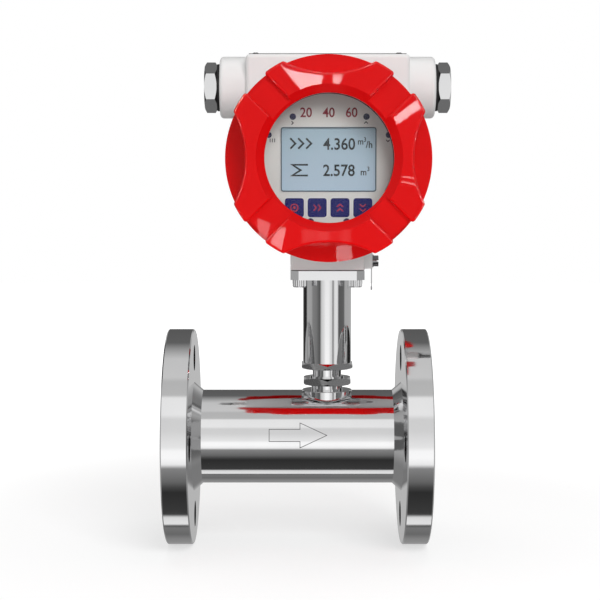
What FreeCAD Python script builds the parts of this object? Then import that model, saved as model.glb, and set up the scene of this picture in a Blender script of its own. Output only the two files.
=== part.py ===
import FreeCAD, Part
import math
import os
import types

import Sketcher

# Turbine flow meter with flanged ends and a display head, in millimetres.
# The origin is the centre of the inlet flange's face. +X runs with the flow, +Z is up,
# and the display faces -Y.

SIZES = {
    # pipe, flanges and bore, and the turned lines of the sealing faces
    "face_to_face": 180,
    "flange_diameter": 150,
    "flange_thickness": 18,
    "flange_edge_break": 0.8,
    "bolt_circle": 110,
    "bolt_hole": 18,
    "bolt_count": 4,
    "pipe_diameter": 65,
    "weld_hub_diameter": 76,
    "weld_hub_length": 6.2,
    "bore_diameter": 40,
    "throat_diameter": 39,
    "throat_half_length": 9,
    "sealing_line_depth": 0.5,
    "sealing_line_width": 1,
    "sealing_line_first": 50,
    "sealing_line_step": 12,
    "sealing_line_count": 3,
    "neck_place": 110.5,
    # socket that the sensor screws into
    "socket_diameter": 35,
    "socket_top": 33,
    "socket_floor": 24,
    "socket_edge_break": 0.4,
    "probe_tip_height": 21.6,
    # flow straighteners and rotor
    "core_diameter": 14,
    "vane_length": 26,
    "vane_thickness": 1.5,
    "vane_clearance": 0.1,
    "vane_count": 4,
    "nose_length": 9,
    "core_overhang": 3,
    "rotor_side_gap": 1,
    "rotor_half_length": 6,
    "rotor_edge_chamfer": 1,
    "blade_half_length": 5,
    "blade_thickness": 1.3,
    "blade_lead": 120,
    "blade_count": 6,
    "blade_tip_gap": 0.7,
    "shaft_diameter": 3,
    "shaft_clearance": 0.04,
    "shaft_end_play": 0.1,
    "bush_diameter": 6,
    "bush_length": 6,
    "thrust_pad_thickness": 1,
    "circlip_thickness": 1.2,
    "circlip_depth": 1.2,
    "circlip_width": 3,
    "circlip_gap": 8,
    "circlip_clearance": 0.1,
    # sensor stem, nuts and support tube
    "stem_diameter": 20,
    "stem_bore": 13,
    "stem_length": 38,
    "stem_end_chamfer": 1,
    "stem_collar_diameter": 21.5,
    "stem_collar_height": 3.8,
    "lock_nut_flats": 32.5,
    "lock_nut_height": 5.1,
    "foot_ring_diameter": 23.5,
    "foot_ring_height": 0.8,
    "nut_gap": 6.1,
    "tube_nut_flats": 35.2,
    "tube_nut_height": 4.3,
    "nut_chamfer_angle": 30,
    "turning_clearance": 0.08,
    "tube_diameter": 33.7,
    "tube_bore": 28,
    "tube_length": 58.3,
    "tube_floor": 4.5,
    # pick-up inside the stem
    "probe_clearance": 0.1,
    "probe_wall": 1,
    "probe_length": 38,
    "coil_bore": 4.4,
    "coil_length": 16,
    "coil_clearance": 0.1,
    "magnet_diameter": 4,
    "magnet_length": 24,
    "probe_cap_height": 4,
    "lead_diameter": 2.4,
    "lead_clearance": 0.1,
    "lead_end_drop": 44,
    "lead_seal_length": 10,
    "connector_length": 10,
    "connector_diameter": 7,
    # square plate under the head
    "plate_width": 50.6,
    "plate_corner": 5.5,
    "plate_thickness": 6.3,
    "gasket_thickness": 0.8,
    "gasket_inset": 0.6,
    "plate_screw_place": 19.2,
    "plate_screw_diameter": 5,
    "plate_screw_head": 8.5,
    "plate_screw_head_height": 5,
    "plate_screw_reach": 9,
    "plate_hole": 5.5,
    "socket_key_flats": 4,
    "socket_key_depth": 2.5,
    # housing
    "head_height": 192.5,
    "barrel_diameter": 124,
    "barrel_front": 40,
    "barrel_back": 36,
    "spigot_diameter": 112,
    "spigot_length": 15.7,
    "front_chamber_diameter": 100,
    "rear_chamber_diameter": 98,
    "partition_front": 14,
    "partition_thickness": 6,
    "block_width": 110.8,
    "block_depth": 50,
    "block_top": 71,
    "block_foot": 20,
    "block_round": 3,
    "entry_diameter": 42.2,
    "entry_below_top": 0.2,
    "entry_half_span": 73.7,
    "entry_round": 2.7,
    "entry_bore": 20,
    "neck_bore": 14,
    "neck_bore_end": 45,
    "neck_foot_round": 2,
    "lug_reach": 31.3,
    "lug_depth": 17,
    "lug_height": 15,
    "lug_round": 2,
    # hexagonal entry plugs
    "plug_flats": 30,
    "plug_height": 8.5,
    "plug_gasket_diameter": 32.2,
    "plug_gasket_thickness": 1.9,
    "plug_shank_length": 14,
    "plug_thread_clearance": 0.1,
    # name plate and its screws
    "name_plate_length": 106.8,
    "name_plate_width": 34,
    "name_plate_thickness": 0.8,
    "name_plate_screw_place": 49.3,
    "name_plate_screw_head": 5.4,
    "name_plate_screw_head_height": 2,
    "name_plate_screw_diameter": 3,
    "name_plate_screw_reach": 6,
    # earth screw and hanging seal wire
    "earth_height": 5,
    "earth_screw_head": 7.6,
    "earth_screw_head_height": 3.4,
    "earth_screw_diameter": 4,
    "earth_screw_reach": 7,
    "earth_washer_diameter": 8.8,
    "earth_washer_thickness": 0.9,
    "slot_width": 1.1,
    "slot_depth": 1.2,
    "wire_inset": 0.4,
    "wire_diameter": 0.6,
    "wire_drop": 15.2,
    "crimp_diameter": 1.2,
    "crimp_length": 2.6,
    # screw-on covers
    "cover_diameter": 136,
    "cover_base_depth": 17,
    "front_cover_depth": 45,
    "rear_cover_depth": 36,
    "scallop_radius": 63.4,
    "scallop_floor_radius": 54.1,
    "channel_width": 16.5,
    "channel_depth": 3.5,
    "channel_end_radius": 65,
    "lug_count": 4,
    "horn_tip_round": 2,
    "cover_edge_round": 1.6,
    "window_diameter": 83.4,
    "window_bevel": 5.4,
    "window_lip": 3.2,
    "cover_bore_clearance": 0.3,
    "cover_seat_depth": 16,
    "cover_relief_diameter": 104.8,
    "cover_relief_depth": 4,
    "seal_pocket_diameter": 120.4,
    "seal_pocket_depth": 3.8,
    "seal_thickness": 3.3,
    "seal_clearance": 0.2,
    # glass and what holds it
    "glass_seat_diameter": 97,
    "glass_diameter": 96.4,
    "glass_thickness": 8,
    "glass_gasket_thickness": 1,
    "glass_ring_thickness": 2.8,
    "glass_ring_bore": 88,
    # display and electronics
    "panel_diameter": 99.4,
    "panel_front": 55.7,
    "panel_thickness": 2,
    "display_width": 62.3,
    "display_height": 41.8,
    "display_rise": -0.6,
    "display_recess": 0.4,
    "display_frame": 2,
    "display_thickness": 5,
    "key_width": 12.1,
    "key_corner": 1.6,
    "key_pitch": 15,
    "key_drop": 32.2,
    "key_clearance": 0.2,
    "key_proud": 0.6,
    "key_flange": 0.7,
    "key_flange_thickness": 1,
    "key_behind_gap": 0.3,
    "key_travel": 0.5,
    "key_stop_gap": 0.1,
    "key_count": 4,
    "switch_width": 6,
    "board_diameter": 99,
    "board_thickness": 1.6,
    "board_front": 45.7,
    "post_circle": 94,
    "post_diameter": 5,
    "post_count": 4,
    "post_stud": 2.5,
    "post_stud_length": 6,
    "post_stud_room": 1,
    "post_clearance": 0.1,
    "panel_screw_diameter": 2,
    "panel_screw_reach": 4,
    "panel_screw_head": 4,
    "panel_screw_head_height": 1.2,
    "terminal_length": 50,
    "terminal_depth": 14,
    "terminal_height": 12,
    "terminal_count": 6,
    "terminal_screw_diameter": 4.4,
    "terminal_screw_height": 0.8,
}

# how far a joined feature reaches into what carries it, and a cut past the outside
REACH_IN = 1
REACH_OUT = 1
# straight steps of a straightener's rounded nose
NOSE_STEPS = 6

DOCUMENT = FreeCAD.newDocument("turbine_flow_meter")
SHEET = DOCUMENT.addObject("Spreadsheet::Sheet", "Sizes")
NODES = []

# local planes of a body, and the way that a sketch's height runs on each
TOP = "XY_Plane"
FRONT = "XZ_Plane"
SIDE = "YZ_Plane"


class Size:
    """A length or count that knows its number and the formula that gives it from the sheet."""

    def __init__(self, value, formula):
        self.value = value
        self.formula = formula

    def __add__(self, other):
        other = as_size(other)
        return Size(self.value + other.value, f"({self.formula} + {other.formula})")

    def __radd__(self, other):
        return as_size(other) + self

    def __sub__(self, other):
        other = as_size(other)
        return Size(self.value - other.value, f"({self.formula} - {other.formula})")

    def __rsub__(self, other):
        return as_size(other) - self

    def __mul__(self, other):
        other = as_size(other)
        return Size(self.value * other.value, f"({self.formula} * {other.formula})")

    def __rmul__(self, other):
        return as_size(other) * self

    def __truediv__(self, other):
        other = as_size(other)
        return Size(self.value / other.value, f"({self.formula} / {other.formula})")

    def __neg__(self):
        return as_size(0) - self


def as_size(value):
    return value if isinstance(value, Size) else Size(float(value), f"({float(value)})")


def sine(angle):
    return Size(math.sin(math.radians(angle.value)), f"sin({angle.formula} * 1 deg)")


def cosine(angle):
    return Size(math.cos(math.radians(angle.value)), f"cos({angle.formula} * 1 deg)")


def tangent(angle):
    return sine(angle) / cosine(angle)


def fill_sheet():
    for row, (name, value) in enumerate(SIZES.items(), 1):
        SHEET.set(f"A{row}", name.replace("_", " "))
        SHEET.set(f"B{row}", str(value))
        SHEET.setAlias(f"B{row}", name)
    DOCUMENT.recompute()
    sizes = {name: Size(float(value), f"Sizes.{name}") for name, value in SIZES.items()}
    return types.SimpleNamespace(**sizes)


def bind(item, target, size):
    item.setExpression(target, as_size(size).formula)


def place(item, x=0, y=0, z=0, axis=(0, 0, 1), turn=0):
    item.Placement = FreeCAD.Placement(FreeCAD.Vector(), FreeCAD.Rotation(FreeCAD.Vector(*axis), turn))
    bind(item, "Placement.Base.x", x)
    bind(item, "Placement.Base.y", y)
    bind(item, "Placement.Base.z", z)


def new_body(name):
    body = DOCUMENT.addObject("PartDesign::Body", name)
    body.Label = name
    NODES.append(body)
    return body


def new_sketch(body, plane, height=0):
    sketch = body.newObject("Sketcher::SketchObject", f"{body.Label}_sketch")
    support = next(item for item in body.Origin.OriginFeatures if item.Role == plane)
    sketch.AttachmentSupport = [(support, "")]
    sketch.MapMode = "FlatFace"
    bind(sketch, "AttachmentOffset.Base.z", height)
    return sketch


def pin_point(sketch, geometry, point, u, v):
    """Holds one sketch point at u, v from the sketch's origin."""
    for direction, size in (("DistanceX", as_size(u)), ("DistanceY", as_size(v))):
        number = sketch.addConstraint(Sketcher.Constraint(direction, -1, 1, geometry, point, size.value))
        sketch.setExpression(f"Constraints[{number}]", size.formula)


def polygon(sketch, points):
    points = [(as_size(u), as_size(v)) for u, v in points]
    corners = [FreeCAD.Vector(u.value, v.value, 0) for u, v in points]
    first = sketch.GeometryCount
    for start, end in zip(corners, corners[1:] + corners[:1]):
        sketch.addGeometry(Part.LineSegment(start, end), False)
    for step, (u, v) in enumerate(points):
        following = first + (step + 1) % len(points)
        sketch.addConstraint(Sketcher.Constraint("Coincident", first + step, 2, following, 1))
        pin_point(sketch, first + step, 1, u, v)
    return sketch


def rectangle(sketch, u_low, u_high, v_low, v_high):
    return polygon(sketch, [(u_low, v_low), (u_high, v_low), (u_high, v_high), (u_low, v_high)])


def circle(sketch, radius, u=0, v=0):
    u, v, radius = as_size(u), as_size(v), as_size(radius)
    centre = FreeCAD.Vector(u.value, v.value, 0)
    number = sketch.addGeometry(Part.Circle(centre, FreeCAD.Vector(0, 0, 1), radius.value), False)
    pin_point(sketch, number, 3, u, v)
    limit = sketch.addConstraint(Sketcher.Constraint("Radius", number, radius.value))
    sketch.setExpression(f"Constraints[{limit}]", radius.formula)
    return sketch


def circles(sketch, radius, places):
    for u, v in places:
        circle(sketch, radius, u, v)
    return sketch


def hexagon(sketch, flats, u=0, v=0, first_corner=30):
    """A hexagon about u, v. From 30 degrees its corners lie up and down, from 0 left and right."""
    corner = flats / math.sqrt(3)
    angles = [math.radians(first_corner + 60 * step) for step in range(6)]
    return polygon(sketch, [(u + corner * math.cos(a), v + corner * math.sin(a)) for a in angles])


def feature(body, kind, profile):
    item = body.newObject(f"PartDesign::{kind}", f"{body.Label}_{kind.lower()}")
    item.Profile = profile
    return item


def pad(body, profile, length):
    item = feature(body, "Pad", profile)
    bind(item, "Length", length)
    return item


def pocket(body, profile, depth):
    """Cuts from the sketch's height back towards the plane that the heights start at."""
    item = feature(body, "Pocket", profile)
    bind(item, "Length", depth)
    return item


def turned(body, profile, axis="V_Axis", cut=False):
    item = feature(body, "Groove" if cut else "Revolution", profile)
    item.ReferenceAxis = (profile, [axis])
    item.Angle = 360
    return item


def around(body, originals, axis, count):
    item = body.newObject("PartDesign::PolarPattern", f"{body.Label}_pattern")
    item.Originals = originals
    item.Axis = (next(part for part in body.Origin.OriginFeatures if part.Role == axis), [""])
    item.Angle = 360
    bind(item, "Occurrences", count)
    body.Tip = item
    return item


def rounded(body, base, radius, wanted, kind="Fillet"):
    """Rounds or chamfers the edges of base for which wanted(edge) is true."""
    DOCUMENT.recompute()
    names = [f"Edge{number}" for number, edge in enumerate(base.Shape.Edges, 1) if wanted(edge)]
    item = body.newObject(f"PartDesign::{kind}", f"{body.Label}_{kind.lower()}")
    item.Base = (base, names)
    bind(item, "Radius" if kind == "Fillet" else "Size", radius)
    return item


def reach(edge, axis="Y"):
    """The radius of an edge's middle about one of the body's own axes."""
    middle = edge.valueAt((edge.FirstParameter + edge.LastParameter) / 2)
    across = {"X": (middle.y, middle.z), "Y": (middle.x, middle.z), "Z": (middle.x, middle.y)}[axis]
    return math.hypot(*across)


def lies_at(edge, letter, value):
    """True where the whole edge lies in one plane across a local axis."""
    box = edge.BoundBox
    low, high = getattr(box, f"{letter}Min"), getattr(box, f"{letter}Max")
    return abs(low - value) < 0.001 and abs(high - value) < 0.001


def runs_along(edge, letter):
    sizes = {name: getattr(edge.BoundBox, f"{name}Length") for name in "XYZ"}
    return all(length < 0.001 for name, length in sizes.items() if name != letter)


def disc(name, radius, length, bore=None):
    """A plain washer or disc that stands on its local XY plane."""
    body = new_body(name)
    sketch = circle(new_sketch(body, TOP), radius)
    if bore is not None:
        circle(sketch, bore)
    pad(body, sketch, length)
    return body


def chamfer_hexagon(body, flats, height, at_top=True):
    """Turns the corners off one end of a hexagon that stands from 0 to height."""
    corner = flats / math.sqrt(3) + REACH_OUT
    drop = (corner - flats / 2) * tangent(S.nut_chamfer_angle)
    face, inner = (height, height - drop) if at_top else (as_size(0), drop)
    points = [(flats / 2, face), (corner, inner), (corner, face)]
    turned(body, polygon(new_sketch(body, FRONT), points), cut=True)


def hexagon_nut(name, flats, height, bore):
    body = new_body(name)
    sketch = hexagon(new_sketch(body, TOP), flats)
    circle(sketch, bore)
    pad(body, sketch, height)
    chamfer_hexagon(body, flats, height)
    chamfer_hexagon(body, flats, height, at_top=False)
    return body


S = fill_sheet()

WELD = S.flange_thickness + S.weld_hub_length
THROAT_START = S.neck_place - S.throat_half_length
THROAT_END = S.neck_place + S.throat_half_length
BUSH_START = S.rotor_half_length + S.rotor_side_gap
LOCK_NUT_FOOT = S.socket_top + S.stem_collar_height
LOCK_NUT_TOP = LOCK_NUT_FOOT + S.lock_nut_height
TUBE_NUT_FOOT = LOCK_NUT_TOP + S.nut_gap
TUBE_FOOT = TUBE_NUT_FOOT + S.tube_nut_height
PLATE_FOOT = TUBE_FOOT + S.tube_length
PLATE_TOP = PLATE_FOOT + S.plate_thickness
HEAD_FOOT = PLATE_TOP + S.gasket_thickness
ENTRY_HEIGHT = S.block_top - S.entry_below_top - S.entry_diameter / 2


def make_flange(name, x, turn):
    """Weld-neck flange. The local X axis runs from the sealing face to the weld."""
    body = new_body(name)
    outer, pipe, bore = S.flange_diameter / 2, S.pipe_diameter / 2, S.bore_diameter / 2
    hub, back, bevel = S.weld_hub_diameter / 2, S.flange_thickness, S.flange_edge_break
    turned(body, polygon(new_sketch(body, FRONT), [
        (0, bore), (0, outer - bevel), (bevel, outer), (back - bevel, outer), (back, outer - bevel),
        (back, hub), (WELD, pipe), (WELD, bore),
    ]), "H_Axis")
    hole = circle(new_sketch(body, SIDE, back), S.bolt_hole / 2, 0, S.bolt_circle / 2)
    around(body, [pocket(body, hole, back)], "X_Axis", S.bolt_count)
    for number in range(int(S.sealing_line_count.value)):
        radius = (S.sealing_line_first + S.sealing_line_step * number) / 2
        line = circle(new_sketch(body, SIDE, S.sealing_line_depth), radius)
        circle(line, radius + S.sealing_line_width)
        pocket(body, line, S.sealing_line_depth)
    place(body, x, 0, 0, turn=turn)


def make_pipe():
    """Measuring pipe between the welds, with the throat, ring grooves and the sensor's hole."""
    body = new_body("meter_pipe")
    pipe, bore, throat = S.pipe_diameter / 2, S.bore_diameter / 2, S.throat_diameter / 2
    start, end = WELD, S.face_to_face - WELD
    ring = bore + S.circlip_depth
    slot = S.circlip_thickness + S.circlip_clearance
    before, after = THROAT_START - S.vane_length, THROAT_END + S.vane_length
    turned(body, polygon(new_sketch(body, FRONT), [
        (start, pipe), (start, bore), (before - slot, bore), (before - slot, ring), (before, ring),
        (before, bore), (THROAT_START, bore), (THROAT_START, throat), (THROAT_END, throat),
        (THROAT_END, bore), (after, bore), (after, ring), (after + slot, ring), (after + slot, bore),
        (end, bore), (end, pipe),
    ]), "H_Axis")
    hole = circle(new_sketch(body, TOP, S.socket_top), S.socket_diameter / 2, S.neck_place, 0)
    pocket(body, hole, S.socket_top - S.socket_floor)
    seat = circle(new_sketch(body, TOP, S.socket_floor), S.stem_bore / 2, S.neck_place, 0)
    pocket(body, seat, S.socket_floor - S.probe_tip_height)


def make_socket():
    """Round boss, set into the pipe's wall and welded, that the sensor's stem screws into."""
    body = new_body("sensor_socket")
    height = S.socket_top - S.socket_floor
    ring = circle(new_sketch(body, TOP), S.socket_diameter / 2)
    base = pad(body, circle(ring, S.stem_diameter / 2), height)
    outside = (S.socket_diameter / 2).value

    def outer_top(edge):
        return lies_at(edge, "Z", height.value) and abs(reach(edge, "Z") - outside) < 0.001

    rounded(body, base, S.socket_edge_break, outer_top, "Chamfer")
    place(body, S.neck_place, 0, S.socket_floor)


def make_guide(name, seat, direction):
    """Flow straightener: a rounded core on four vanes, with a bearing seat facing the rotor.

    The local X axis runs from the throat's shoulder away from the rotor.
    """
    body = new_body(name)
    core = S.core_diameter / 2
    inner = BUSH_START - S.throat_half_length
    outer = S.vane_length + S.core_overhang
    sketch = new_sketch(body, FRONT)
    steps = [math.radians(90 * step / NOSE_STEPS) for step in range(1, NOSE_STEPS)]
    nose = [(outer + S.nose_length * math.sin(a), core * math.cos(a)) for a in steps]
    nose.append((outer + S.nose_length, 0))
    turned(body, polygon(sketch, [(inner, 0), (inner, core), (outer, core)] + nose), "H_Axis")
    tip = S.bore_diameter / 2 - S.vane_clearance
    middle = new_sketch(body, FRONT, -(S.vane_thickness / 2))
    vane = pad(body, rectangle(middle, 0, S.vane_length, core - REACH_IN, tip), S.vane_thickness)
    around(body, [vane], "X_Axis", S.vane_count)
    depth = S.bush_length + S.thrust_pad_thickness
    hole = circle(new_sketch(body, SIDE, inner), S.bush_diameter / 2)
    seat_hole = pocket(body, hole, depth)
    seat_hole.Reversed = True
    place(body, seat, 0, 0, turn=0 if direction > 0 else 180)


def make_bearings():
    for name, direction in (("upstream_bush", -1), ("downstream_bush", 1)):
        bore = S.shaft_diameter / 2 + S.shaft_clearance
        bush = disc(name, S.bush_diameter / 2, S.bush_length, bore)
        place(bush, S.neck_place + direction * BUSH_START, 0, 0, (0, 1, 0), 90 * direction)
    for name, direction in (("upstream_thrust_pad", -1), ("downstream_thrust_pad", 1)):
        pad_disc = disc(name, S.bush_diameter / 2, S.thrust_pad_thickness)
        seat = S.neck_place + direction * (BUSH_START + S.bush_length)
        place(pad_disc, seat, 0, 0, (0, 1, 0), 90 * direction)


def make_circlip(name, x):
    """Spring ring that holds a straightener against the throat's shoulder, open at the bottom."""
    body = new_body(name)
    outer = S.bore_diameter / 2 + S.circlip_depth - S.circlip_clearance
    sketch = circle(new_sketch(body, SIDE), outer)
    circle(sketch, outer - S.circlip_width)
    pad(body, sketch, S.circlip_thickness)
    half = S.circlip_gap / 2
    gap = rectangle(new_sketch(body, SIDE, S.circlip_thickness), -half, half, -outer - REACH_OUT, 0)
    pocket(body, gap, S.circlip_thickness)
    place(body, x, 0, 0)


def make_rotor():
    """Six helical blades on a turned hub. The blades grow steeper with the radius, at one lead."""
    body = new_body("rotor")
    hub, half, bevel = S.core_diameter / 2, S.rotor_half_length, S.rotor_edge_chamfer
    turned(body, polygon(new_sketch(body, FRONT), [
        (-half, S.shaft_diameter / 2), (-half, hub - bevel), (bevel - half, hub), (half - bevel, hub),
        (half, hub - bevel), (half, S.shaft_diameter / 2),
    ]), "H_Axis")
    tip = S.throat_diameter / 2 - S.blade_tip_gap
    sections = []
    end, thick = S.blade_half_length, S.blade_thickness / 2
    for height in (hub - bevel, tip + REACH_OUT):
        shift = height * end * (2 * math.pi) / S.blade_lead
        corners = [
            (-end, -shift - thick), (end, shift - thick), (end, shift + thick), (-end, thick - shift),
        ]
        sections.append(polygon(new_sketch(body, TOP, height), corners))
    blade = feature(body, "AdditiveLoft", sections[0])
    blade.Sections = [sections[1]]
    blade.Ruled = True
    around(body, [blade], "X_Axis", S.blade_count)
    beyond = tip + end + REACH_OUT
    trim = rectangle(new_sketch(body, FRONT), -half - REACH_OUT, half + REACH_OUT, tip, beyond)
    turned(body, trim, "H_Axis", cut=True)
    place(body, S.neck_place, 0, 0)


def make_shaft():
    half = BUSH_START + S.bush_length - S.shaft_end_play
    shaft = disc("rotor_shaft", S.shaft_diameter / 2, 2 * half)
    place(shaft, S.neck_place - half, 0, 0, (0, 1, 0), 90)


def make_stem():
    """Threaded nipple that screws into the socket and carries the lock nut and the head."""
    body = new_body("sensor_stem")
    outer, inner = S.stem_diameter / 2, S.stem_bore / 2
    collar_foot = S.socket_top - S.socket_floor
    collar_top = collar_foot + S.stem_collar_height
    bevel = S.stem_end_chamfer
    turned(body, polygon(new_sketch(body, FRONT), [
        (inner, 0), (outer, 0), (outer, collar_foot), (S.stem_collar_diameter / 2, collar_foot),
        (S.stem_collar_diameter / 2, collar_top), (outer, collar_top), (outer, S.stem_length - bevel),
        (outer - bevel, S.stem_length), (inner, S.stem_length),
    ]))
    place(body, S.neck_place, 0, S.socket_floor)


def make_nuts():
    lock = hexagon_nut("lock_nut", S.lock_nut_flats, S.lock_nut_height, S.stem_diameter / 2)
    place(lock, S.neck_place, 0, LOCK_NUT_FOOT)
    ring = disc("lock_washer", S.foot_ring_diameter / 2, S.foot_ring_height, S.stem_diameter / 2)
    place(ring, S.neck_place, 0, LOCK_NUT_TOP)
    turning = S.stem_diameter / 2 + S.turning_clearance
    upper = hexagon_nut("tube_nut", S.tube_nut_flats, S.tube_nut_height, turning)
    place(upper, S.neck_place, 0, TUBE_NUT_FOOT)


def make_pickup():
    """The magnetic pick-up that feels the blades pass through the throat's wall."""
    shell = new_body("pickup_shell")
    outer = S.stem_bore / 2 - S.probe_clearance
    inner = outer - S.probe_wall
    turned(shell, polygon(new_sketch(shell, FRONT), [
        (0, 0), (outer, 0), (outer, S.probe_length), (inner, S.probe_length), (inner, S.probe_wall),
        (0, S.probe_wall),
    ]))
    place(shell, S.neck_place, 0, S.probe_tip_height)
    floor = S.probe_tip_height + S.probe_wall
    coil = disc("pickup_coil", inner - S.coil_clearance, S.coil_length, S.coil_bore / 2)
    place(coil, S.neck_place, 0, floor)
    magnet = disc("pickup_magnet", S.magnet_diameter / 2, S.magnet_length)
    place(magnet, S.neck_place, 0, floor)
    cap_foot = S.probe_tip_height + S.probe_length - S.probe_cap_height
    cap = disc("pickup_cap", inner, S.probe_cap_height)
    place(cap, S.neck_place, 0, cap_foot)
    lead_foot = S.probe_tip_height + S.probe_length
    lead_top = S.head_height - S.lead_end_drop
    lead = disc("pickup_lead", S.lead_diameter / 2, lead_top - lead_foot)
    place(lead, S.neck_place, 0, lead_foot)
    connector = disc("lead_connector", S.connector_diameter / 2, S.connector_length)
    place(connector, S.neck_place, 0, lead_top)
    seal = disc("lead_seal", S.neck_bore / 2, S.lead_seal_length, S.lead_diameter / 2 + S.lead_clearance)
    place(seal, S.neck_place, 0, HEAD_FOOT)


def make_support_tube():
    """Polished collar tube, closed at its foot round the stem."""
    body = new_body("support_tube")
    outer, inner = S.tube_diameter / 2, S.tube_bore / 2
    stem = S.stem_diameter / 2 + S.turning_clearance
    turned(body, polygon(new_sketch(body, FRONT), [
        (stem, 0), (outer, 0), (outer, S.tube_length), (inner, S.tube_length), (inner, S.tube_floor),
        (stem, S.tube_floor),
    ]))
    place(body, S.neck_place, 0, TUBE_FOOT)


def square_with_corners(sketch, half, corner):
    inner = half - corner
    return polygon(sketch, [
        (-inner, -half), (inner, -half), (half, -inner), (half, inner),
        (inner, half), (-inner, half), (-half, inner), (-half, -inner),
    ])


def corner_places():
    reach_out = S.plate_screw_place
    return [(x * reach_out, y * reach_out) for x in (-1, 1) for y in (-1, 1)]


def make_plate(name, half, thickness, height):
    body = new_body(name)
    sketch = square_with_corners(new_sketch(body, TOP), half, S.plate_corner)
    circle(sketch, S.tube_bore / 2)
    circles(sketch, S.plate_hole / 2, corner_places())
    pad(body, sketch, thickness)
    place(body, S.neck_place, 0, height)


def make_plate_screws():
    """Four socket-head screws that hold the housing down on the square plate."""
    body = new_body("plate_screws")
    head = circles(new_sketch(body, TOP), S.plate_screw_head / 2, corner_places())
    pad(body, head, S.plate_screw_head_height)
    shank = circles(new_sketch(body, TOP), S.plate_screw_diameter / 2, corner_places())
    above = S.plate_thickness + S.gasket_thickness + S.plate_screw_reach
    pad(body, shank, S.plate_screw_head_height + above)
    for x, y in corner_places():
        key = hexagon(new_sketch(body, TOP, S.socket_key_depth), S.socket_key_flats, x, y)
        pocket(body, key, S.socket_key_depth)
    place(body, S.neck_place, 0, PLATE_FOOT - S.plate_screw_head_height)


def make_housing():
    """Cast two-chamber housing: barrel with threaded ends, top block, entries, foot and lug."""
    body = new_body("housing")
    barrel, spigot = S.barrel_diameter / 2, S.spigot_diameter / 2
    front, back = S.barrel_front + S.spigot_length, S.barrel_back + S.spigot_length
    turned(body, polygon(new_sketch(body, TOP), [
        (0, -front), (spigot, -front), (spigot, -S.barrel_front), (barrel, -S.barrel_front),
        (barrel, S.barrel_back), (spigot, S.barrel_back), (spigot, back), (0, back),
    ]))
    wide, deep = S.block_width / 2, S.block_depth / 2
    block = rectangle(new_sketch(body, TOP, S.block_foot), -wide, wide, -deep, deep)
    base = pad(body, block, S.block_top - S.block_foot)
    top = S.block_top.value
    half_wide = wide.value

    def block_edge(edge):
        on_side = abs(abs(edge.CenterOfMass.x) - half_wide) < 0.001
        return lies_at(edge, "Z", top) or (on_side and runs_along(edge, "Z"))

    rounded(body, base, S.block_round, block_edge)

    entry = circle(new_sketch(body, SIDE, -S.entry_half_span), S.entry_diameter / 2, 0, ENTRY_HEIGHT)
    base = pad(body, entry, 2 * S.entry_half_span)
    span = S.entry_half_span.value
    rounded(body, base, S.entry_round, lambda edge: lies_at(edge, "X", span) or lies_at(edge, "X", -span))

    half = S.plate_width / 2
    foot = HEAD_FOOT - S.head_height
    neck = rectangle(new_sketch(body, TOP, foot), -half, half, -half, half)
    base = pad(body, neck, -foot - S.block_foot)
    corner = half.value

    def neck_edge(edge):
        middle = edge.CenterOfMass
        upright = runs_along(edge, "Z") and middle.z < 0
        return upright and abs(abs(middle.x) - corner) < 0.001 and abs(abs(middle.y) - corner) < 0.001

    rounded(body, base, S.neck_foot_round, neck_edge)

    lug_side = S.lug_depth / 2
    lug = rectangle(new_sketch(body, TOP, foot), half - REACH_IN, S.lug_reach, -lug_side, lug_side)
    base = pad(body, lug, S.lug_height)
    end = S.lug_reach.value
    rounded(body, base, S.lug_round, lambda edge: runs_along(edge, "Z") and lies_at(edge, "X", end))

    chamber = S.front_chamber_diameter / 2
    front_wall = S.partition_front
    turned(body, rectangle(new_sketch(body, TOP), 0, chamber, -front, -front_wall), cut=True)
    chamber = S.rear_chamber_diameter / 2
    rear_wall = S.partition_thickness - S.partition_front
    turned(body, rectangle(new_sketch(body, TOP), 0, chamber, rear_wall, back), cut=True)

    hole = circle(new_sketch(body, SIDE, S.entry_half_span), S.entry_bore / 2, 0, ENTRY_HEIGHT)
    pocket(body, hole, 2 * S.entry_half_span)
    wires = circle(new_sketch(body, TOP, -S.neck_bore_end), S.neck_bore / 2)
    pocket(body, wires, -foot - S.neck_bore_end)
    deep = new_sketch(body, TOP, foot + S.plate_screw_reach)
    pocket(body, circles(deep, S.plate_screw_diameter / 2, corner_places()), S.plate_screw_reach)
    plate = new_sketch(body, TOP, S.block_top)
    for side in (-1, 1):
        circle(plate, S.name_plate_screw_diameter / 2, side * S.name_plate_screw_place, 0)
    pocket(body, plate, S.name_plate_screw_reach)
    side = new_sketch(body, SIDE, S.lug_reach)
    earth = circle(side, S.earth_screw_diameter / 2, 0, foot + S.earth_height)
    pocket(body, earth, S.earth_screw_reach)
    place(body, S.neck_place, 0, S.head_height)


def make_plug(name, direction):
    """Blind plug of a cable entry: a hexagon head on a threaded shank."""
    body = new_body(name)
    pad(body, hexagon(new_sketch(body, TOP), S.plug_flats, first_corner=0), S.plug_height)
    chamfer_hexagon(body, S.plug_flats, S.plug_height)
    chamfer_hexagon(body, S.plug_flats, S.plug_height, at_top=False)
    depth = S.plug_gasket_thickness + S.plug_shank_length
    shank = circle(new_sketch(body, TOP, -depth), S.entry_bore / 2 - S.plug_thread_clearance)
    pad(body, shank, depth)
    height = S.head_height + ENTRY_HEIGHT
    end = S.neck_place + direction * S.entry_half_span
    place(body, end + direction * S.plug_gasket_thickness, 0, height, (0, 1, 0), 90 * direction)

    thick = S.plug_gasket_thickness
    gasket = disc(f"{name}_gasket", S.plug_gasket_diameter / 2, thick, S.entry_bore / 2)
    place(gasket, end, 0, height, (0, 1, 0), 90 * direction)


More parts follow.
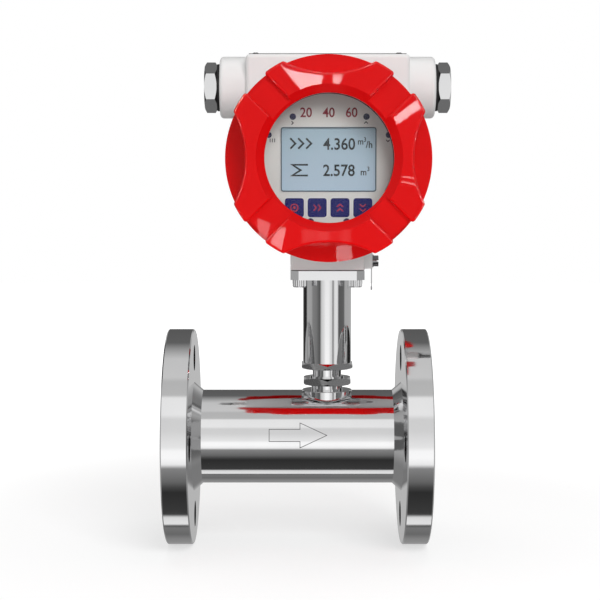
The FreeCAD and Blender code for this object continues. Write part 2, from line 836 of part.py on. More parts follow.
def make_name_plate():
    """Bare plate on top of the head, with its two screws."""
    body = new_body("name_plate")
    half_long, half_wide = S.name_plate_length / 2, S.name_plate_width / 2
    sketch = rectangle(new_sketch(body, TOP), -half_long, half_long, -half_wide, half_wide)
    for side in (-1, 1):
        circle(sketch, S.name_plate_screw_diameter / 2, side * S.name_plate_screw_place, 0)
    pad(body, sketch, S.name_plate_thickness)
    foot = S.head_height + S.block_top
    place(body, S.neck_place, 0, foot)

    screws = new_body("name_plate_screws")
    heads, shanks = new_sketch(screws, TOP), new_sketch(screws, TOP, -S.name_plate_screw_reach)
    for side in (-1, 1):
        circle(heads, S.name_plate_screw_head / 2, side * S.name_plate_screw_place, 0)
        circle(shanks, S.name_plate_screw_diameter / 2, side * S.name_plate_screw_place, 0)
    height = S.name_plate_screw_head_height
    pad(screws, heads, height)
    pad(screws, shanks, S.name_plate_screw_reach + height / 2)
    place(screws, S.neck_place, 0, foot + S.name_plate_thickness)


def make_earth_screw():
    thick = S.earth_washer_thickness
    washer = disc("earth_washer", S.earth_washer_diameter / 2, thick, S.earth_screw_diameter / 2)
    side, height = S.neck_place + S.lug_reach, HEAD_FOOT + S.earth_height
    place(washer, side, 0, height, (0, 1, 0), 90)
    body = new_body("earth_screw")
    head = S.earth_screw_head_height
    pad(body, circle(new_sketch(body, TOP), S.earth_screw_head / 2), head)
    depth = thick + S.earth_screw_reach
    shank = circle(new_sketch(body, TOP, -depth), S.earth_screw_diameter / 2)
    pad(body, shank, depth + head / 2)
    half = S.slot_width / 2
    end = S.earth_screw_head / 2 + REACH_OUT
    slot = rectangle(new_sketch(body, TOP, head), -half, half, -end, end)
    pocket(body, slot, S.slot_depth)
    place(body, side + thick, 0, height, (0, 1, 0), 90)


def make_seal_wire():
    """Short stiff wire that hangs under the lug, with a crimped end."""
    body = new_body("seal_wire")
    wire, crimp = S.wire_diameter / 2, S.crimp_diameter / 2
    turned(body, polygon(new_sketch(body, FRONT), [
        (0, 0), (wire, 0), (wire, S.crimp_length - S.wire_drop), (crimp, S.crimp_length - S.wire_drop),
        (crimp, -S.wire_drop), (0, -S.wire_drop),
    ]))
    place(body, S.neck_place + S.lug_reach - S.wire_inset, 0, HEAD_FOOT)


def crossed_bars(sketch, half, far):
    """The outline of two bars that cross at the middle, each at 45 degrees."""
    arm = [(far, -half), (far, half), (half, half)]
    points = []
    for turn in range(4):
        for along, across in arm:
            x, z = [(along, across), (-across, along), (-along, -across), (across, -along)][turn]
            points.append(((x - z) * math.sqrt(0.5), (x + z) * math.sqrt(0.5)))
    return polygon(sketch, points)


def make_cover(name, depth, y, turn, windowed):
    """Screw-on cover: a round base and a crown cut by four scallops and two crossing channels.

    The local -Y axis runs from the seat on the barrel to the crown's face.
    """
    body = new_body(name)
    outer, crown_depth = S.cover_diameter / 2, depth - S.cover_base_depth
    turned(body, polygon(new_sketch(body, TOP), [(0, 0), (outer, 0), (outer, -depth), (0, -depth)]))

    middle = S.scallop_floor_radius + S.scallop_radius
    scallop = circle(new_sketch(body, FRONT, depth), S.scallop_radius, 0, middle)
    around(body, [pocket(body, scallop, crown_depth)], "Y_Axis", S.lug_count)

    half, far = S.channel_width / 2, outer + REACH_OUT
    pocket(body, crossed_bars(new_sketch(body, FRONT, depth), half, far), S.channel_depth)
    slant, end = math.sqrt(0.5), S.channel_end_radius
    gap = polygon(new_sketch(body, FRONT, depth), [
        ((end - half) * slant, (end + half) * slant), ((far - half) * slant, (far + half) * slant),
        ((far + half) * slant, (far - half) * slant), ((end + half) * slant, (end - half) * slant),
    ])
    horns = around(body, [pocket(body, gap, crown_depth)], "Y_Axis", S.lug_count)

    def horn_tip(edge):
        return runs_along(edge, "Y") and abs(reach(edge) - outer.value) < 0.001

    tips = rounded(body, horns, S.horn_tip_round, horn_tip)
    rounded(body, tips, S.cover_edge_round, lambda edge: lies_at(edge, "Y", -depth.value))

    spigot = S.spigot_diameter / 2 + S.cover_bore_clearance
    pocket_wide, seat, window = S.seal_pocket_diameter / 2, S.glass_seat_diameter / 2, S.window_diameter / 2
    inside = [
        (0, 0), (pocket_wide, 0), (pocket_wide, -S.seal_pocket_depth), (spigot, -S.seal_pocket_depth),
        (spigot, -S.cover_seat_depth),
    ]
    bevel = [(window, S.window_bevel - depth), (window + S.window_bevel, -depth), (0, -depth)]
    if windowed:
        lip_back = depth - S.window_bevel - S.window_lip
        relief, relief_end = S.cover_relief_diameter / 2, -S.cover_seat_depth - S.cover_relief_depth
        inside += [(relief, -S.cover_seat_depth), (relief, relief_end), (seat, relief_end)]
        inside += [(seat, -lip_back), (window, -lip_back)] + bevel
    else:
        inside += [(0, -S.cover_seat_depth)]
        hollow = [(0, S.window_bevel - depth)] + bevel
        turned(body, polygon(new_sketch(body, TOP), hollow), cut=True)
    turned(body, polygon(new_sketch(body, TOP), inside), cut=True)
    place(body, S.neck_place, y, S.head_height, turn=turn)


def make_seal(name, y, turn):
    """Ring seal that lies in the cover's seal pocket and travels with it."""
    body = new_body(name)
    outer = S.seal_pocket_diameter / 2 - S.seal_clearance
    inner = S.spigot_diameter / 2 + S.cover_bore_clearance
    gap, quarter = S.seal_clearance, (outer - inner) / 4
    near, far = -gap, -gap - S.seal_thickness
    turned(body, polygon(new_sketch(body, TOP), [
        (inner + quarter, near), (outer - quarter, near), (outer, near - quarter), (outer, far + quarter),
        (outer - quarter, far), (inner + quarter, far), (inner, far + quarter), (inner, near - quarter),
    ]))
    place(body, S.neck_place, y, S.head_height, turn=turn)


def make_glass():
    """Window glass between a flat gasket at the cover's lip and a threaded ring behind."""
    lip_back = S.barrel_front + S.front_cover_depth - S.window_bevel - S.window_lip
    seat = S.glass_diameter / 2
    gasket = disc("window_gasket", seat, S.glass_gasket_thickness, S.window_diameter / 2)
    place(gasket, S.neck_place, S.glass_gasket_thickness - lip_back, S.head_height, (1, 0, 0), 90)
    glass_back = lip_back - S.glass_gasket_thickness - S.glass_thickness
    glass = disc("window_glass", seat, S.glass_thickness)
    place(glass, S.neck_place, -glass_back, S.head_height, (1, 0, 0), 90)
    ring = disc("glass_ring", seat, S.glass_ring_thickness, S.glass_ring_bore / 2)
    place(ring, S.neck_place, S.glass_ring_thickness - glass_back, S.head_height, (1, 0, 0), 90)


def in_row(count, pitch):
    """Centres of a row of pieces, from left to right, about the head's axis."""
    count = int(count.value)
    return [pitch * (number - (count - 1) / 2) for number in range(count)]


def make_display():
    """Front panel with the display's window and one opening for each key."""
    panel = new_body("display_panel")
    sketch = circle(new_sketch(panel, FRONT), S.panel_diameter / 2)
    wide, high = S.display_width / 2, S.display_height / 2
    rectangle(sketch, -wide, wide, S.display_rise - high, S.display_rise + high)
    opening = S.key_width / 2 + S.key_clearance
    for x in in_row(S.key_count, S.key_pitch):
        rectangle(sketch, x - opening, x + opening, -S.key_drop - opening, opening - S.key_drop)
    circles(sketch, S.panel_screw_diameter / 2 + S.post_clearance, post_places())
    pad(panel, sketch, S.panel_thickness)
    sunk = new_sketch(panel, FRONT, S.panel_thickness)
    circles(sunk, S.panel_screw_head / 2 + S.post_clearance, post_places())
    drilled = pocket(panel, sunk, S.panel_screw_head_height)
    low_half = -S.key_drop / 2

    def key_opening_corner(edge):
        return runs_along(edge, "Y") and edge.BoundBox.ZMax < low_half.value

    rounded(panel, drilled, S.key_corner + S.key_clearance, key_opening_corner)
    panel_back = S.panel_front - S.panel_thickness
    place(panel, S.neck_place, -panel_back, S.head_height)

    module = new_body("display_module")
    frame = S.display_frame
    back = rectangle(new_sketch(module, FRONT, -S.display_thickness), -wide - frame, wide + frame,
                     S.display_rise - high - frame, S.display_rise + high + frame)
    pad(module, back, S.display_thickness)
    small = wide - S.display_recess
    face = rectangle(new_sketch(module, FRONT), -small, small,
                     S.display_rise - high + S.display_recess, S.display_rise + high - S.display_recess)
    pad(module, face, S.panel_thickness - S.display_recess)
    place(module, S.neck_place, -panel_back, S.head_height)


def make_keys():
    """Four keys that travel in the panel, each with a flange that the panel holds back."""
    names = ("set_key", "shift_key", "up_key", "down_key")
    flange_front = S.panel_front - S.panel_thickness - S.key_behind_gap
    flange_back = flange_front - S.key_flange_thickness
    cap_front = S.panel_front + S.key_proud
    for name, x in zip(names, in_row(S.key_count, S.key_pitch)):
        key = new_body(name)
        half = S.key_width / 2
        wide = half + S.key_clearance + S.key_flange
        pad(key, rectangle(new_sketch(key, FRONT), -wide, wide, -wide, wide), S.key_flange_thickness)
        cap = pad(key, rectangle(new_sketch(key, FRONT), -half, half, -half, half), cap_front - flange_back)
        rounded(key, cap, S.key_corner, lambda edge: runs_along(edge, "Y"))
        place(key, S.neck_place + x, -flange_back, S.head_height - S.key_drop)

    switches = new_body("key_switches")
    half = S.switch_width / 2
    sketch = new_sketch(switches, FRONT)
    for x in in_row(S.key_count, S.key_pitch):
        rectangle(sketch, x - half, x + half, -S.key_drop - half, half - S.key_drop)
    pad(switches, sketch, flange_back - S.key_travel - S.key_stop_gap - S.board_front)
    place(switches, S.neck_place, -S.board_front, S.head_height)


def post_places():
    ring = S.post_circle / 2
    count = int(S.post_count.value)
    angles = [math.radians(360 * step / count) for step in range(count)]
    return [(ring * math.cos(a), ring * math.sin(a)) for a in angles]


def make_board():
    board = new_body("circuit_board")
    sketch = circle(new_sketch(board, FRONT), S.board_diameter / 2)
    pad(board, circles(sketch, S.post_stud / 2 + S.post_clearance, post_places()), S.board_thickness)
    place(board, S.neck_place, S.board_thickness - S.board_front, S.head_height)


def make_posts():
    """Posts from the partition to the board, and studded posts from the board to the panel."""
    places = post_places()
    rear = new_body("board_posts")
    length = S.board_front - S.board_thickness - S.partition_front
    sketch = circles(new_sketch(rear, FRONT), S.post_diameter / 2, places)
    pad(rear, sketch, length)
    depth = S.post_stud_length + S.post_stud_room
    hole = S.post_stud / 2 + S.post_clearance
    pocket(rear, circles(new_sketch(rear, FRONT, length), hole, places), depth)
    place(rear, S.neck_place, -S.partition_front, S.head_height)

    front = new_body("panel_posts")
    height = S.panel_front - S.panel_thickness - S.board_front
    pad(front, circles(new_sketch(front, FRONT), S.post_diameter / 2, places), height)
    below = S.board_thickness + S.post_stud_length
    pad(front, circles(new_sketch(front, FRONT, -below), S.post_stud / 2, places), below + height / 2)
    hole = S.panel_screw_diameter / 2 + S.post_clearance
    depth = S.panel_screw_reach + S.post_clearance
    pocket(front, circles(new_sketch(front, FRONT, height), hole, places), depth)
    place(front, S.neck_place, -S.board_front, S.head_height)

    screws = new_body("panel_screws")
    head = S.panel_screw_head_height
    pad(screws, circles(new_sketch(screws, FRONT), S.panel_screw_head / 2, places), head)
    below = S.panel_thickness - head + S.panel_screw_reach
    shank = circles(new_sketch(screws, FRONT, -below), S.panel_screw_diameter / 2, places)
    pad(screws, shank, below + head / 2)
    place(screws, S.neck_place, head - S.panel_front, S.head_height)


def make_terminals():
    """Row of screw terminals on the partition, in the rear chamber."""
    block = new_body("terminal_block")
    half = S.terminal_length / 2
    low = S.terminal_height / 2
    wall = S.partition_front - S.partition_thickness
    foot = new_sketch(block, FRONT, wall - S.terminal_depth)
    pad(block, rectangle(foot, -half, half, -low, low), S.terminal_depth)
    place(block, S.neck_place, 0, S.head_height)

    screws = new_body("terminal_screws")
    sketch = new_sketch(screws, FRONT, wall - S.terminal_depth - S.terminal_screw_height)
    for x in in_row(S.terminal_count, S.terminal_length / S.terminal_count):
        circle(sketch, S.terminal_screw_diameter / 2, x, 0)
    pad(screws, sketch, S.terminal_screw_height)
    place(screws, S.neck_place, 0, S.head_height)


def build():
    make_flange("upstream_flange", 0, 0)
    make_flange("downstream_flange", S.face_to_face, 180)
    make_pipe()
    make_socket()
    make_guide("upstream_guide", THROAT_START, -1)
    make_guide("downstream_guide", THROAT_END, 1)
    make_bearings()
    before = THROAT_START - S.vane_length - S.circlip_thickness
    make_circlip("upstream_circlip", before)
    make_circlip("downstream_circlip", THROAT_END + S.vane_length)
    make_rotor()
    make_shaft()
    make_stem()
    make_nuts()
    make_pickup()
    make_support_tube()
    make_plate("square_plate", S.plate_width / 2, S.plate_thickness, PLATE_FOOT)
    make_plate("plate_gasket", S.plate_width / 2 - S.gasket_inset, S.gasket_thickness, PLATE_TOP)
    make_plate_screws()
    make_housing()
    make_plug("left_plug", -1)
    make_plug("right_plug", 1)
    make_name_plate()
    make_earth_screw()
    make_seal_wire()
    make_cover("front_cover", S.front_cover_depth, -S.barrel_front, 0, True)
    make_cover("rear_cover", S.rear_cover_depth, S.barrel_back, 180, False)
    make_seal("front_seal", -S.barrel_front, 0)
    make_seal("rear_seal", S.barrel_back, 180)
    make_glass()
    make_display()
    make_keys()
    make_board()
    make_posts()
    make_terminals()


def check_and_write():
    DOCUMENT.recompute()
    for item in DOCUMENT.Objects:
        if "Invalid" in item.State or "Error" in item.State:
            raise RuntimeError(f"{item.Label} failed: {item.State}")
    for body in NODES:
        if body.Shape.isNull() or not body.Shape.isValid() or body.Shape.Volume <= 0:
            raise RuntimeError(f"{body.Label} has no valid shape")
    os.makedirs("parts", exist_ok=True)
    for body in NODES:
        body.Shape.exportStep(f"parts/{body.Label}.step")
        print(f"{body.Label}: {body.Shape.Volume:.1f} mm3 in {len(body.Shape.Solids)} solid(s)")


build()
check_and_write()
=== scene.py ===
"""Looks, light and camera of a turbine flow meter with a swivelling display head."""
import math

import bmesh
import bpy
from mathutils import Matrix, Vector


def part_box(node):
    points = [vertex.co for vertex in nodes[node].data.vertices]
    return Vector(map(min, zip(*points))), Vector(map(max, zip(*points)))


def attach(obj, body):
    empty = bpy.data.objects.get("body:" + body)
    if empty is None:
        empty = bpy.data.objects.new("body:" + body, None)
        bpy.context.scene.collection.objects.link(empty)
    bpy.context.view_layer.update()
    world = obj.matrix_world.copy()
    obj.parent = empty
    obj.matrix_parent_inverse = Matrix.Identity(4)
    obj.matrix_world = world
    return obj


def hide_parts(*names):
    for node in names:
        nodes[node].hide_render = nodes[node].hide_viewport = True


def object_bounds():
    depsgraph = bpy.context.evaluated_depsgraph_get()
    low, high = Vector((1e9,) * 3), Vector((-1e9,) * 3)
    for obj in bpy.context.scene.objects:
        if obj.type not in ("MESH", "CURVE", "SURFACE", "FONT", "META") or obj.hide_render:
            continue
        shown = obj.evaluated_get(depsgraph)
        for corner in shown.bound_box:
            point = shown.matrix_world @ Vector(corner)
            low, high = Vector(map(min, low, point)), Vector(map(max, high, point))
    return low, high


MM = 0.001

# The photograph's camera: its place in metres, dip in degrees, lens and sensor in millimetres
CAMERA_PLACE = (0.0917, -1.087, 0.1728)
CAMERA_DIP = 4.07
CAMERA_LENS = 93.9
CAMERA_SENSOR = 36.0

# Print on the panel and the display: its usual thickness in millimetres, and the limit on sharp mitres
INK_THICK = 0.12
MITRE_LIMIT = 0.35

# Figures in the built-in font at size 1: their height, and how much their strokes are thickened
FIGURE_HEIGHT = 0.729
FIGURE_WEIGHT = 0.016

# Points nearer than this are one point
MERGE = 0.001 * MM

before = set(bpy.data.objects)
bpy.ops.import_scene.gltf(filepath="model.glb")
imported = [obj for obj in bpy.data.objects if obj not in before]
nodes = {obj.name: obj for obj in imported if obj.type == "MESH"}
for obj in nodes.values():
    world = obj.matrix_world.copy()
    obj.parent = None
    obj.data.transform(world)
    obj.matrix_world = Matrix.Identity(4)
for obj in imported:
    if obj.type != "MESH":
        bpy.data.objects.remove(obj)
cad_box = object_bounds()


class Wire:
    """One output of a shader node, which takes part in sums as a number does."""

    def __init__(self, finish, socket):
        self.finish = finish
        self.socket = socket

    def __add__(self, other):
        return self.finish.math("ADD", self, other)

    def __radd__(self, other):
        return self.finish.math("ADD", other, self)

    def __sub__(self, other):
        return self.finish.math("SUBTRACT", self, other)

    def __rsub__(self, other):
        return self.finish.math("SUBTRACT", other, self)

    def __mul__(self, other):
        return self.finish.math("MULTIPLY", self, other)

    def __rmul__(self, other):
        return self.finish.math("MULTIPLY", other, self)

    def __truediv__(self, other):
        return self.finish.math("DIVIDE", self, other)

    def step(self, low, high):
        """0 below low and 1 above high, smooth between."""
        settings = {"interpolation_type": "SMOOTHSTEP"}
        sockets = {"Value": self, "From Min": low, "From Max": high}
        return self.finish.node("ShaderNodeMapRange", settings, sockets)


class Finish:
    """A node tree in the making. Every node but the last comes from node()."""

    def __init__(self, tree):
        self.tree = tree
        tree.nodes.clear()

    def node(self, kind, settings=None, sockets=None, output=0):
        """A new node, its settings put first and then its sockets. One of its outputs comes back."""
        made = self.tree.nodes.new(kind)
        for key, value in (settings or {}).items():
            if key == "stops":
                self.set_stops(made.color_ramp, value)
            else:
                setattr(made, key, value)
        for key, value in (sockets or {}).items():
            if isinstance(value, Wire):
                self.tree.links.new(value.socket, made.inputs[key])
            else:
                made.inputs[key].default_value = value
        return Wire(self, made.outputs[output])

    def math(self, operation, *values):
        return self.node("ShaderNodeMath", {"operation": operation}, dict(enumerate(values)))

    def rays(self, *kinds):
        """Masks that are 1 for a kind of ray and 0 for the rest."""
        outputs = self.node("ShaderNodeLightPath").socket.node.outputs
        return [Wire(self, outputs[kind]) for kind in kinds]

    @staticmethod
    def set_stops(ramp, stops):
        """Puts (place, colour) pairs on a ramp, which always starts with two."""
        while len(ramp.elements) < len(stops):
            ramp.elements.new(1)
        for element, (at, colour) in zip(ramp.elements, stops):
            element.position = at
            element.color = (*colour, 1)

    def object_place(self):
        return self.node("ShaderNodeTexCoord", output="Object")

    def stretched(self, factors):
        """Object coordinates, scaled apart along X, Y and Z."""
        return self.node("ShaderNodeMapping", None, {"Vector": self.object_place(), "Scale": factors})

    def noise(self, scale, detail=2.0, vector=None, roughness=0.5):
        sockets = {"Vector": vector or self.object_place(), "Scale": scale, "Detail": detail,
                   "Roughness": roughness}
        return self.node("ShaderNodeTexNoise", None, sockets)

    def split(self, vector):
        """The X, Y and Z of a vector."""
        first = self.node("ShaderNodeSeparateXYZ", None, {"Vector": vector})
        outputs = first.socket.node.outputs
        return [Wire(self, outputs[axis]) for axis in "XYZ"]

    def blend(self, factor, low, high):
        """A colour between two others."""
        sockets = {0: factor, 6: self.colour(low), 7: self.colour(high)}
        return self.node("ShaderNodeMix", {"data_type": "RGBA"}, sockets, 2)

    @staticmethod
    def colour(value):
        """A colour of three numbers gets its alpha. Anything else stays as it is."""
        return (*value, 1) if isinstance(value, tuple) and len(value) == 3 else value

    def bump(self, height, strength, distance=0.1 * MM):
        sockets = {"Height": height, "Strength": strength, "Distance": distance}
        return self.node("ShaderNodeBump", None, sockets)

    def principled(self, colour, roughness, **others):
        sockets = {"Base Color": self.colour(colour), "Roughness": roughness}
        sockets.update({key.replace("_", " "): value for key, value in others.items()})
        return self.node("ShaderNodeBsdfPrincipled", None, sockets)

    def mix_shaders(self, factor, first, second):
        return self.node("ShaderNodeMixShader", None, {0: factor, 1: first, 2: second})

    def emit(self, colour, strength=1.0):
        return self.node("ShaderNodeEmission", None, {"Color": self.colour(colour), "Strength": strength})

    def close(self, shader, kind="ShaderNodeOutputMaterial"):
        """Puts the shader on the tree's output."""
        end = self.tree.nodes.new(kind)
        self.tree.links.new(shader.socket, end.inputs["Surface"])


def new_material(name):
    material = bpy.data.materials.new(name)
    material.use_nodes = True
    return material, Finish(material.node_tree)


def linear(red, green, blue):
    """A screen colour, 0 to 255, as the numbers that a shader takes."""
    def one(value):
        share = value / 255
        return share / 12.92 if share <= 0.04045 else ((share + 0.055) / 1.055) ** 2.4
    return one(red), one(green), one(blue)


# Finishes

def polished_steel(name, lines):
    """Mirror-bright stainless steel with faint polishing lines.

    The three numbers in lines say how fast the lines change along X, Y and Z.
    """
    material, f = new_material(name)
    rings = f.noise(1.0, 3.0, f.stretched(lines), 0.6)
    cloud = f.noise(38.0, 3.0)
    scuffs = f.noise(420.0, 2.0).step(0.62, 0.78)
    rough = 0.045 + cloud * 0.05 + scuffs * 0.03
    tint = f.blend(cloud, (0.80, 0.80, 0.81), (0.88, 0.88, 0.88))
    normal = f.bump(rings, 0.05, 0.02 * MM)
    f.close(f.principled(tint, rough, Metallic=1.0, Normal=normal))
    return material


def turned_steel(name, colour=(0.62, 0.62, 0.63), rough=0.24):
    """Turned or stamped steel with a satin finish."""
    material, f = new_material(name)
    grain = f.noise(900.0, 3.0)
    cloud = f.noise(60.0, 2.0)
    darker = tuple(part * 0.8 for part in colour)
    tint = f.blend(cloud, darker, colour)
    f.close(f.principled(tint, rough - 0.06 + grain * 0.12, Metallic=1.0, Normal=f.bump(grain, 0.12)))
    return material


def white_paint(name):
    """Powder coat on cast aluminium: fine orange peel, a little uneven in gloss."""
    material, f = new_material(name)
    peel = f.noise(650.0, 2.0)
    swell = f.noise(90.0, 3.0)
    cloud = f.noise(14.0, 3.0)
    tint = f.blend(cloud, linear(227, 226, 225), linear(233, 233, 233))
    normal = f.bump(peel * 0.7 + swell * 0.5, 0.10, 0.12 * MM)
    rough = 0.26 + cloud * 0.12
    f.close(f.principled(tint, rough, Normal=normal, Coat_Weight=0.25 + swell * 0.1, Coat_Roughness=0.12))
    return material


def red_paint(name):
    """Glossy red enamel over a casting."""
    material, f = new_material(name)
    peel = f.noise(420.0, 2.0)
    swell = f.noise(55.0, 2.0)
    cloud = f.noise(18.0, 3.0)
    tint = f.blend(cloud, linear(202, 1, 3), linear(210, 4, 7))
    normal = f.bump(peel * 0.4 + swell * 0.6, 0.03, 0.1 * MM)
    f.close(f.principled(tint, 0.36 + cloud * 0.1, Normal=normal, Coat_Weight=0.85 + cloud * 0.15,
                         Coat_Roughness=0.012, Coat_IOR=1.15, Specular_IOR_Level=0.02))
    return material


def black_rubber(name):
    """Matt black rubber, a little dusty in places."""
    material, f = new_material(name)
    grain = f.noise(1300.0, 3.0)
    dust = f.noise(120.0, 4.0).step(0.55, 0.8)
    tint = f.blend(dust, (0.012, 0.012, 0.013), (0.035, 0.034, 0.033))
    f.close(f.principled(tint, 0.55 + grain * 0.2, Normal=f.bump(grain, 0.25)))
    return material


def grey_fibre(name):
    """Pressed fibre sheet for a flat gasket."""
    material, f = new_material(name)
    fibres = f.noise(900.0, 4.0)
    tint = f.blend(fibres, (0.24, 0.23, 0.22), (0.36, 0.35, 0.33))
    f.close(f.principled(tint, 0.7 + fibres * 0.15, Normal=f.bump(fibres, 0.2)))
    return material


def black_plastic(name):
    """Moulded black plastic with a fine grain."""
    material, f = new_material(name)
    grain = f.noise(1500.0, 2.0)
    tint = f.blend(f.noise(80.0), (0.018, 0.018, 0.02), (0.03, 0.03, 0.032))
    f.close(f.principled(tint, 0.38 + grain * 0.1, Normal=f.bump(grain, 0.18)))
    return material


def brushed_plate(name):
    """Brushed aluminium with a dark oxide coat, its lines along X."""
    material, f = new_material(name)
    lines = f.noise(1.0, 4.0, f.stretched((60.0, 2600.0, 2600.0)), 0.65)
    tint = f.blend(lines, (0.04, 0.04, 0.042), (0.075, 0.075, 0.078))
    f.close(f.principled(tint, 0.30 + lines * 0.2, Metallic=1.0, Normal=f.bump(lines, 0.15, 0.03 * MM)))
    return material


def window_glass(name):
    """Clear window glass with a coat against glare. Lamp light passes it to the display."""
    material, f = new_material(name)
    wipe = f.noise(30.0, 3.0)
    glass = f.principled((0.985, 0.995, 0.99), wipe * 0.015, Transmission_Weight=1.0, IOR=1.18)
    clear = f.node("ShaderNodeBsdfTransparent", None, {"Color": (0.96, 0.97, 0.965, 1)})
    shadow, diffuse = f.rays("Is Shadow Ray", "Is Diffuse Ray")
    f.close(f.mix_shaders(f.math("MAXIMUM", shadow, diffuse), glass, clear))
    return material


def panel_film(name):
    """The display's front panel: warm grey screen-printed film."""
    material, f = new_material(name)
    grain = f.noise(2400.0, 2.0)
    cloud = f.noise(22.0, 2.0)
    tint = f.blend(cloud, linear(224, 223, 221), linear(231, 230, 227))
    f.close(f.principled(tint, 0.42 + grain * 0.1, Normal=f.bump(grain, 0.06)))
    return material


def display_face(name, low, high):
    """The liquid crystal: a fine grid of cells, with painted shade that makes it darker at the top and
    paler towards the bottom.
    """
    material, f = new_material(name)
    across, _, up = f.split(f.object_place())
    # Painted shade: the crystal's colour darkens from its bottom to its top
    painted_shade_ramp = up.step(low, high)
    cell = 0.45 * MM
    columns, rows = (f.math("COSINE", place * (2 * math.pi / cell)) for place in (across, up))
    grid = f.math("MAXIMUM", columns, rows).step(0.9, 1.0)
    shaded_base = f.blend(painted_shade_ramp, linear(187, 209, 228), linear(173, 197, 212))
    tint = f.blend(grid * 0.2, shaded_base, linear(138, 160, 174))
    rough = 0.16 + f.noise(40.0) * 0.06
    f.close(f.principled(tint, rough))
    return material


def printed(name, colour, spread=0.12):
    """Printing ink or etched lines: nearly even, slightly mottled."""
    material, f = new_material(name)
    mottle = f.noise(700.0, 3.0)
    tint = f.blend(mottle, tuple(part * (1 - spread) for part in colour), colour)
    f.close(f.principled(tint, 0.42 + mottle * 0.1))
    return material


def key_film(name):
    """Dark blue embossed film on the keys."""
    material, f = new_material(name)
    grain = f.noise(1800.0, 2.0)
    tint = f.blend(f.noise(120.0), linear(26, 28, 94), linear(34, 37, 108))
    f.close(f.principled(tint, 0.32 + grain * 0.1, Normal=f.bump(grain, 0.1), Specular_IOR_Level=0.2))
    return material


def board_laminate(name):
    """Green board with lighter copper tracks under the resist."""
    material, f = new_material(name)
    across, _, up = f.split(f.object_place())
    jog = f.noise(90.0, 1.0) * (4 * MM)
    radians_per_metre = 1500.0
    tracks = f.math("SINE", (across + jog) * radians_per_metre).step(0.55, 0.75)
    patch = f.noise(45.0, 1.0, f.stretched((1.0, 1.0, 2.0))).step(0.5, 0.53)
    tint = f.blend(tracks * patch, (0.008, 0.075, 0.028), (0.02, 0.16, 0.06))
    f.close(f.principled(tint, 0.3 + up * 0.2, Normal=f.bump(tracks * patch, 0.3, 0.04 * MM)))
    return material


def copper_wire(name):
    """Enamelled copper, wound in fine turns about Z."""
    material, f = new_material(name)
    _, _, up = f.split(f.object_place())
    radians_per_metre = 15000.0
    turns = f.math("SINE", up * radians_per_metre)
    tint = f.blend(turns.step(-1.0, 1.0), (0.25, 0.07, 0.02), (0.62, 0.22, 0.08))
    f.close(f.principled(tint, 0.3, Metallic=0.9, Normal=f.bump(turns, 0.5, 0.08 * MM)))
    return material


def brass(name):
    """Turned brass with fine rings along Y."""
    material, f = new_material(name)
    rings = f.noise(1.0, 2.0, f.stretched((400.0, 2500.0, 400.0)))
    tint = f.blend(rings, (0.62, 0.42, 0.16), (0.78, 0.56, 0.24))
    f.close(f.principled(tint, 0.2 + rings * 0.12, Metallic=1.0, Normal=f.bump(rings, 0.1, 0.03 * MM)))
    return material


display_low, display_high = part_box("display_module")
finishes = {
    "polished_steel": polished_steel("polished_steel_rings", (1500.0, 40.0, 40.0)),
    "turned_steel": turned_steel("turned_steel_satin"),
    "hard_metal": turned_steel("hard_metal_grey", (0.20, 0.20, 0.21), 0.3),
    "white_paint": white_paint("white_powder_coat"),
    "red_paint": red_paint("red_enamel"),
    "black_rubber": black_rubber("black_rubber_matt"),
    "plate_aluminium": brushed_plate("plate_brushed"),
    "window_glass": window_glass("window_clear"),
    "panel_film": panel_film("panel_printed_film"),
    "display_face": display_face("display_crystal", display_low.z, display_high.z),
    "key_film": key_film("key_blue_film"),
    "board_laminate": board_laminate("board_green"),
    "black_plastic": black_plastic("black_moulding"),
    "copper_wire": copper_wire("copper_winding"),
    "brass_posts": brass("brass_turned"),
}
dark_steel = turned_steel("turned_steel_dark", (0.34, 0.34, 0.35), 0.22)
pan_steel = turned_steel("turned_steel_grey", (0.52, 0.52, 0.53), 0.22)
flat_gasket = grey_fibre("grey_fibre_sheet")
upright_steel = polished_steel("polished_steel_upright", (40.0, 40.0, 1500.0))
# The parts whose polishing lines run round an upright axis
upright = ("sensor_socket", "sensor_stem", "lock_washer", "lock_nut", "tube_nut", "support_tube",
           "square_plate")
for name, node in nodes.items():
    for place in node.material_slots:
        slot = place.material.name.split(".")[0]
        finish = finishes[slot]
        if name.startswith("earth"):
            finish = dark_steel
        elif name == "plate_gasket":
            finish = flat_gasket
        elif name in upright:
            finish = upright_steel
        place.material = finish


# Pieces that lie on the parts

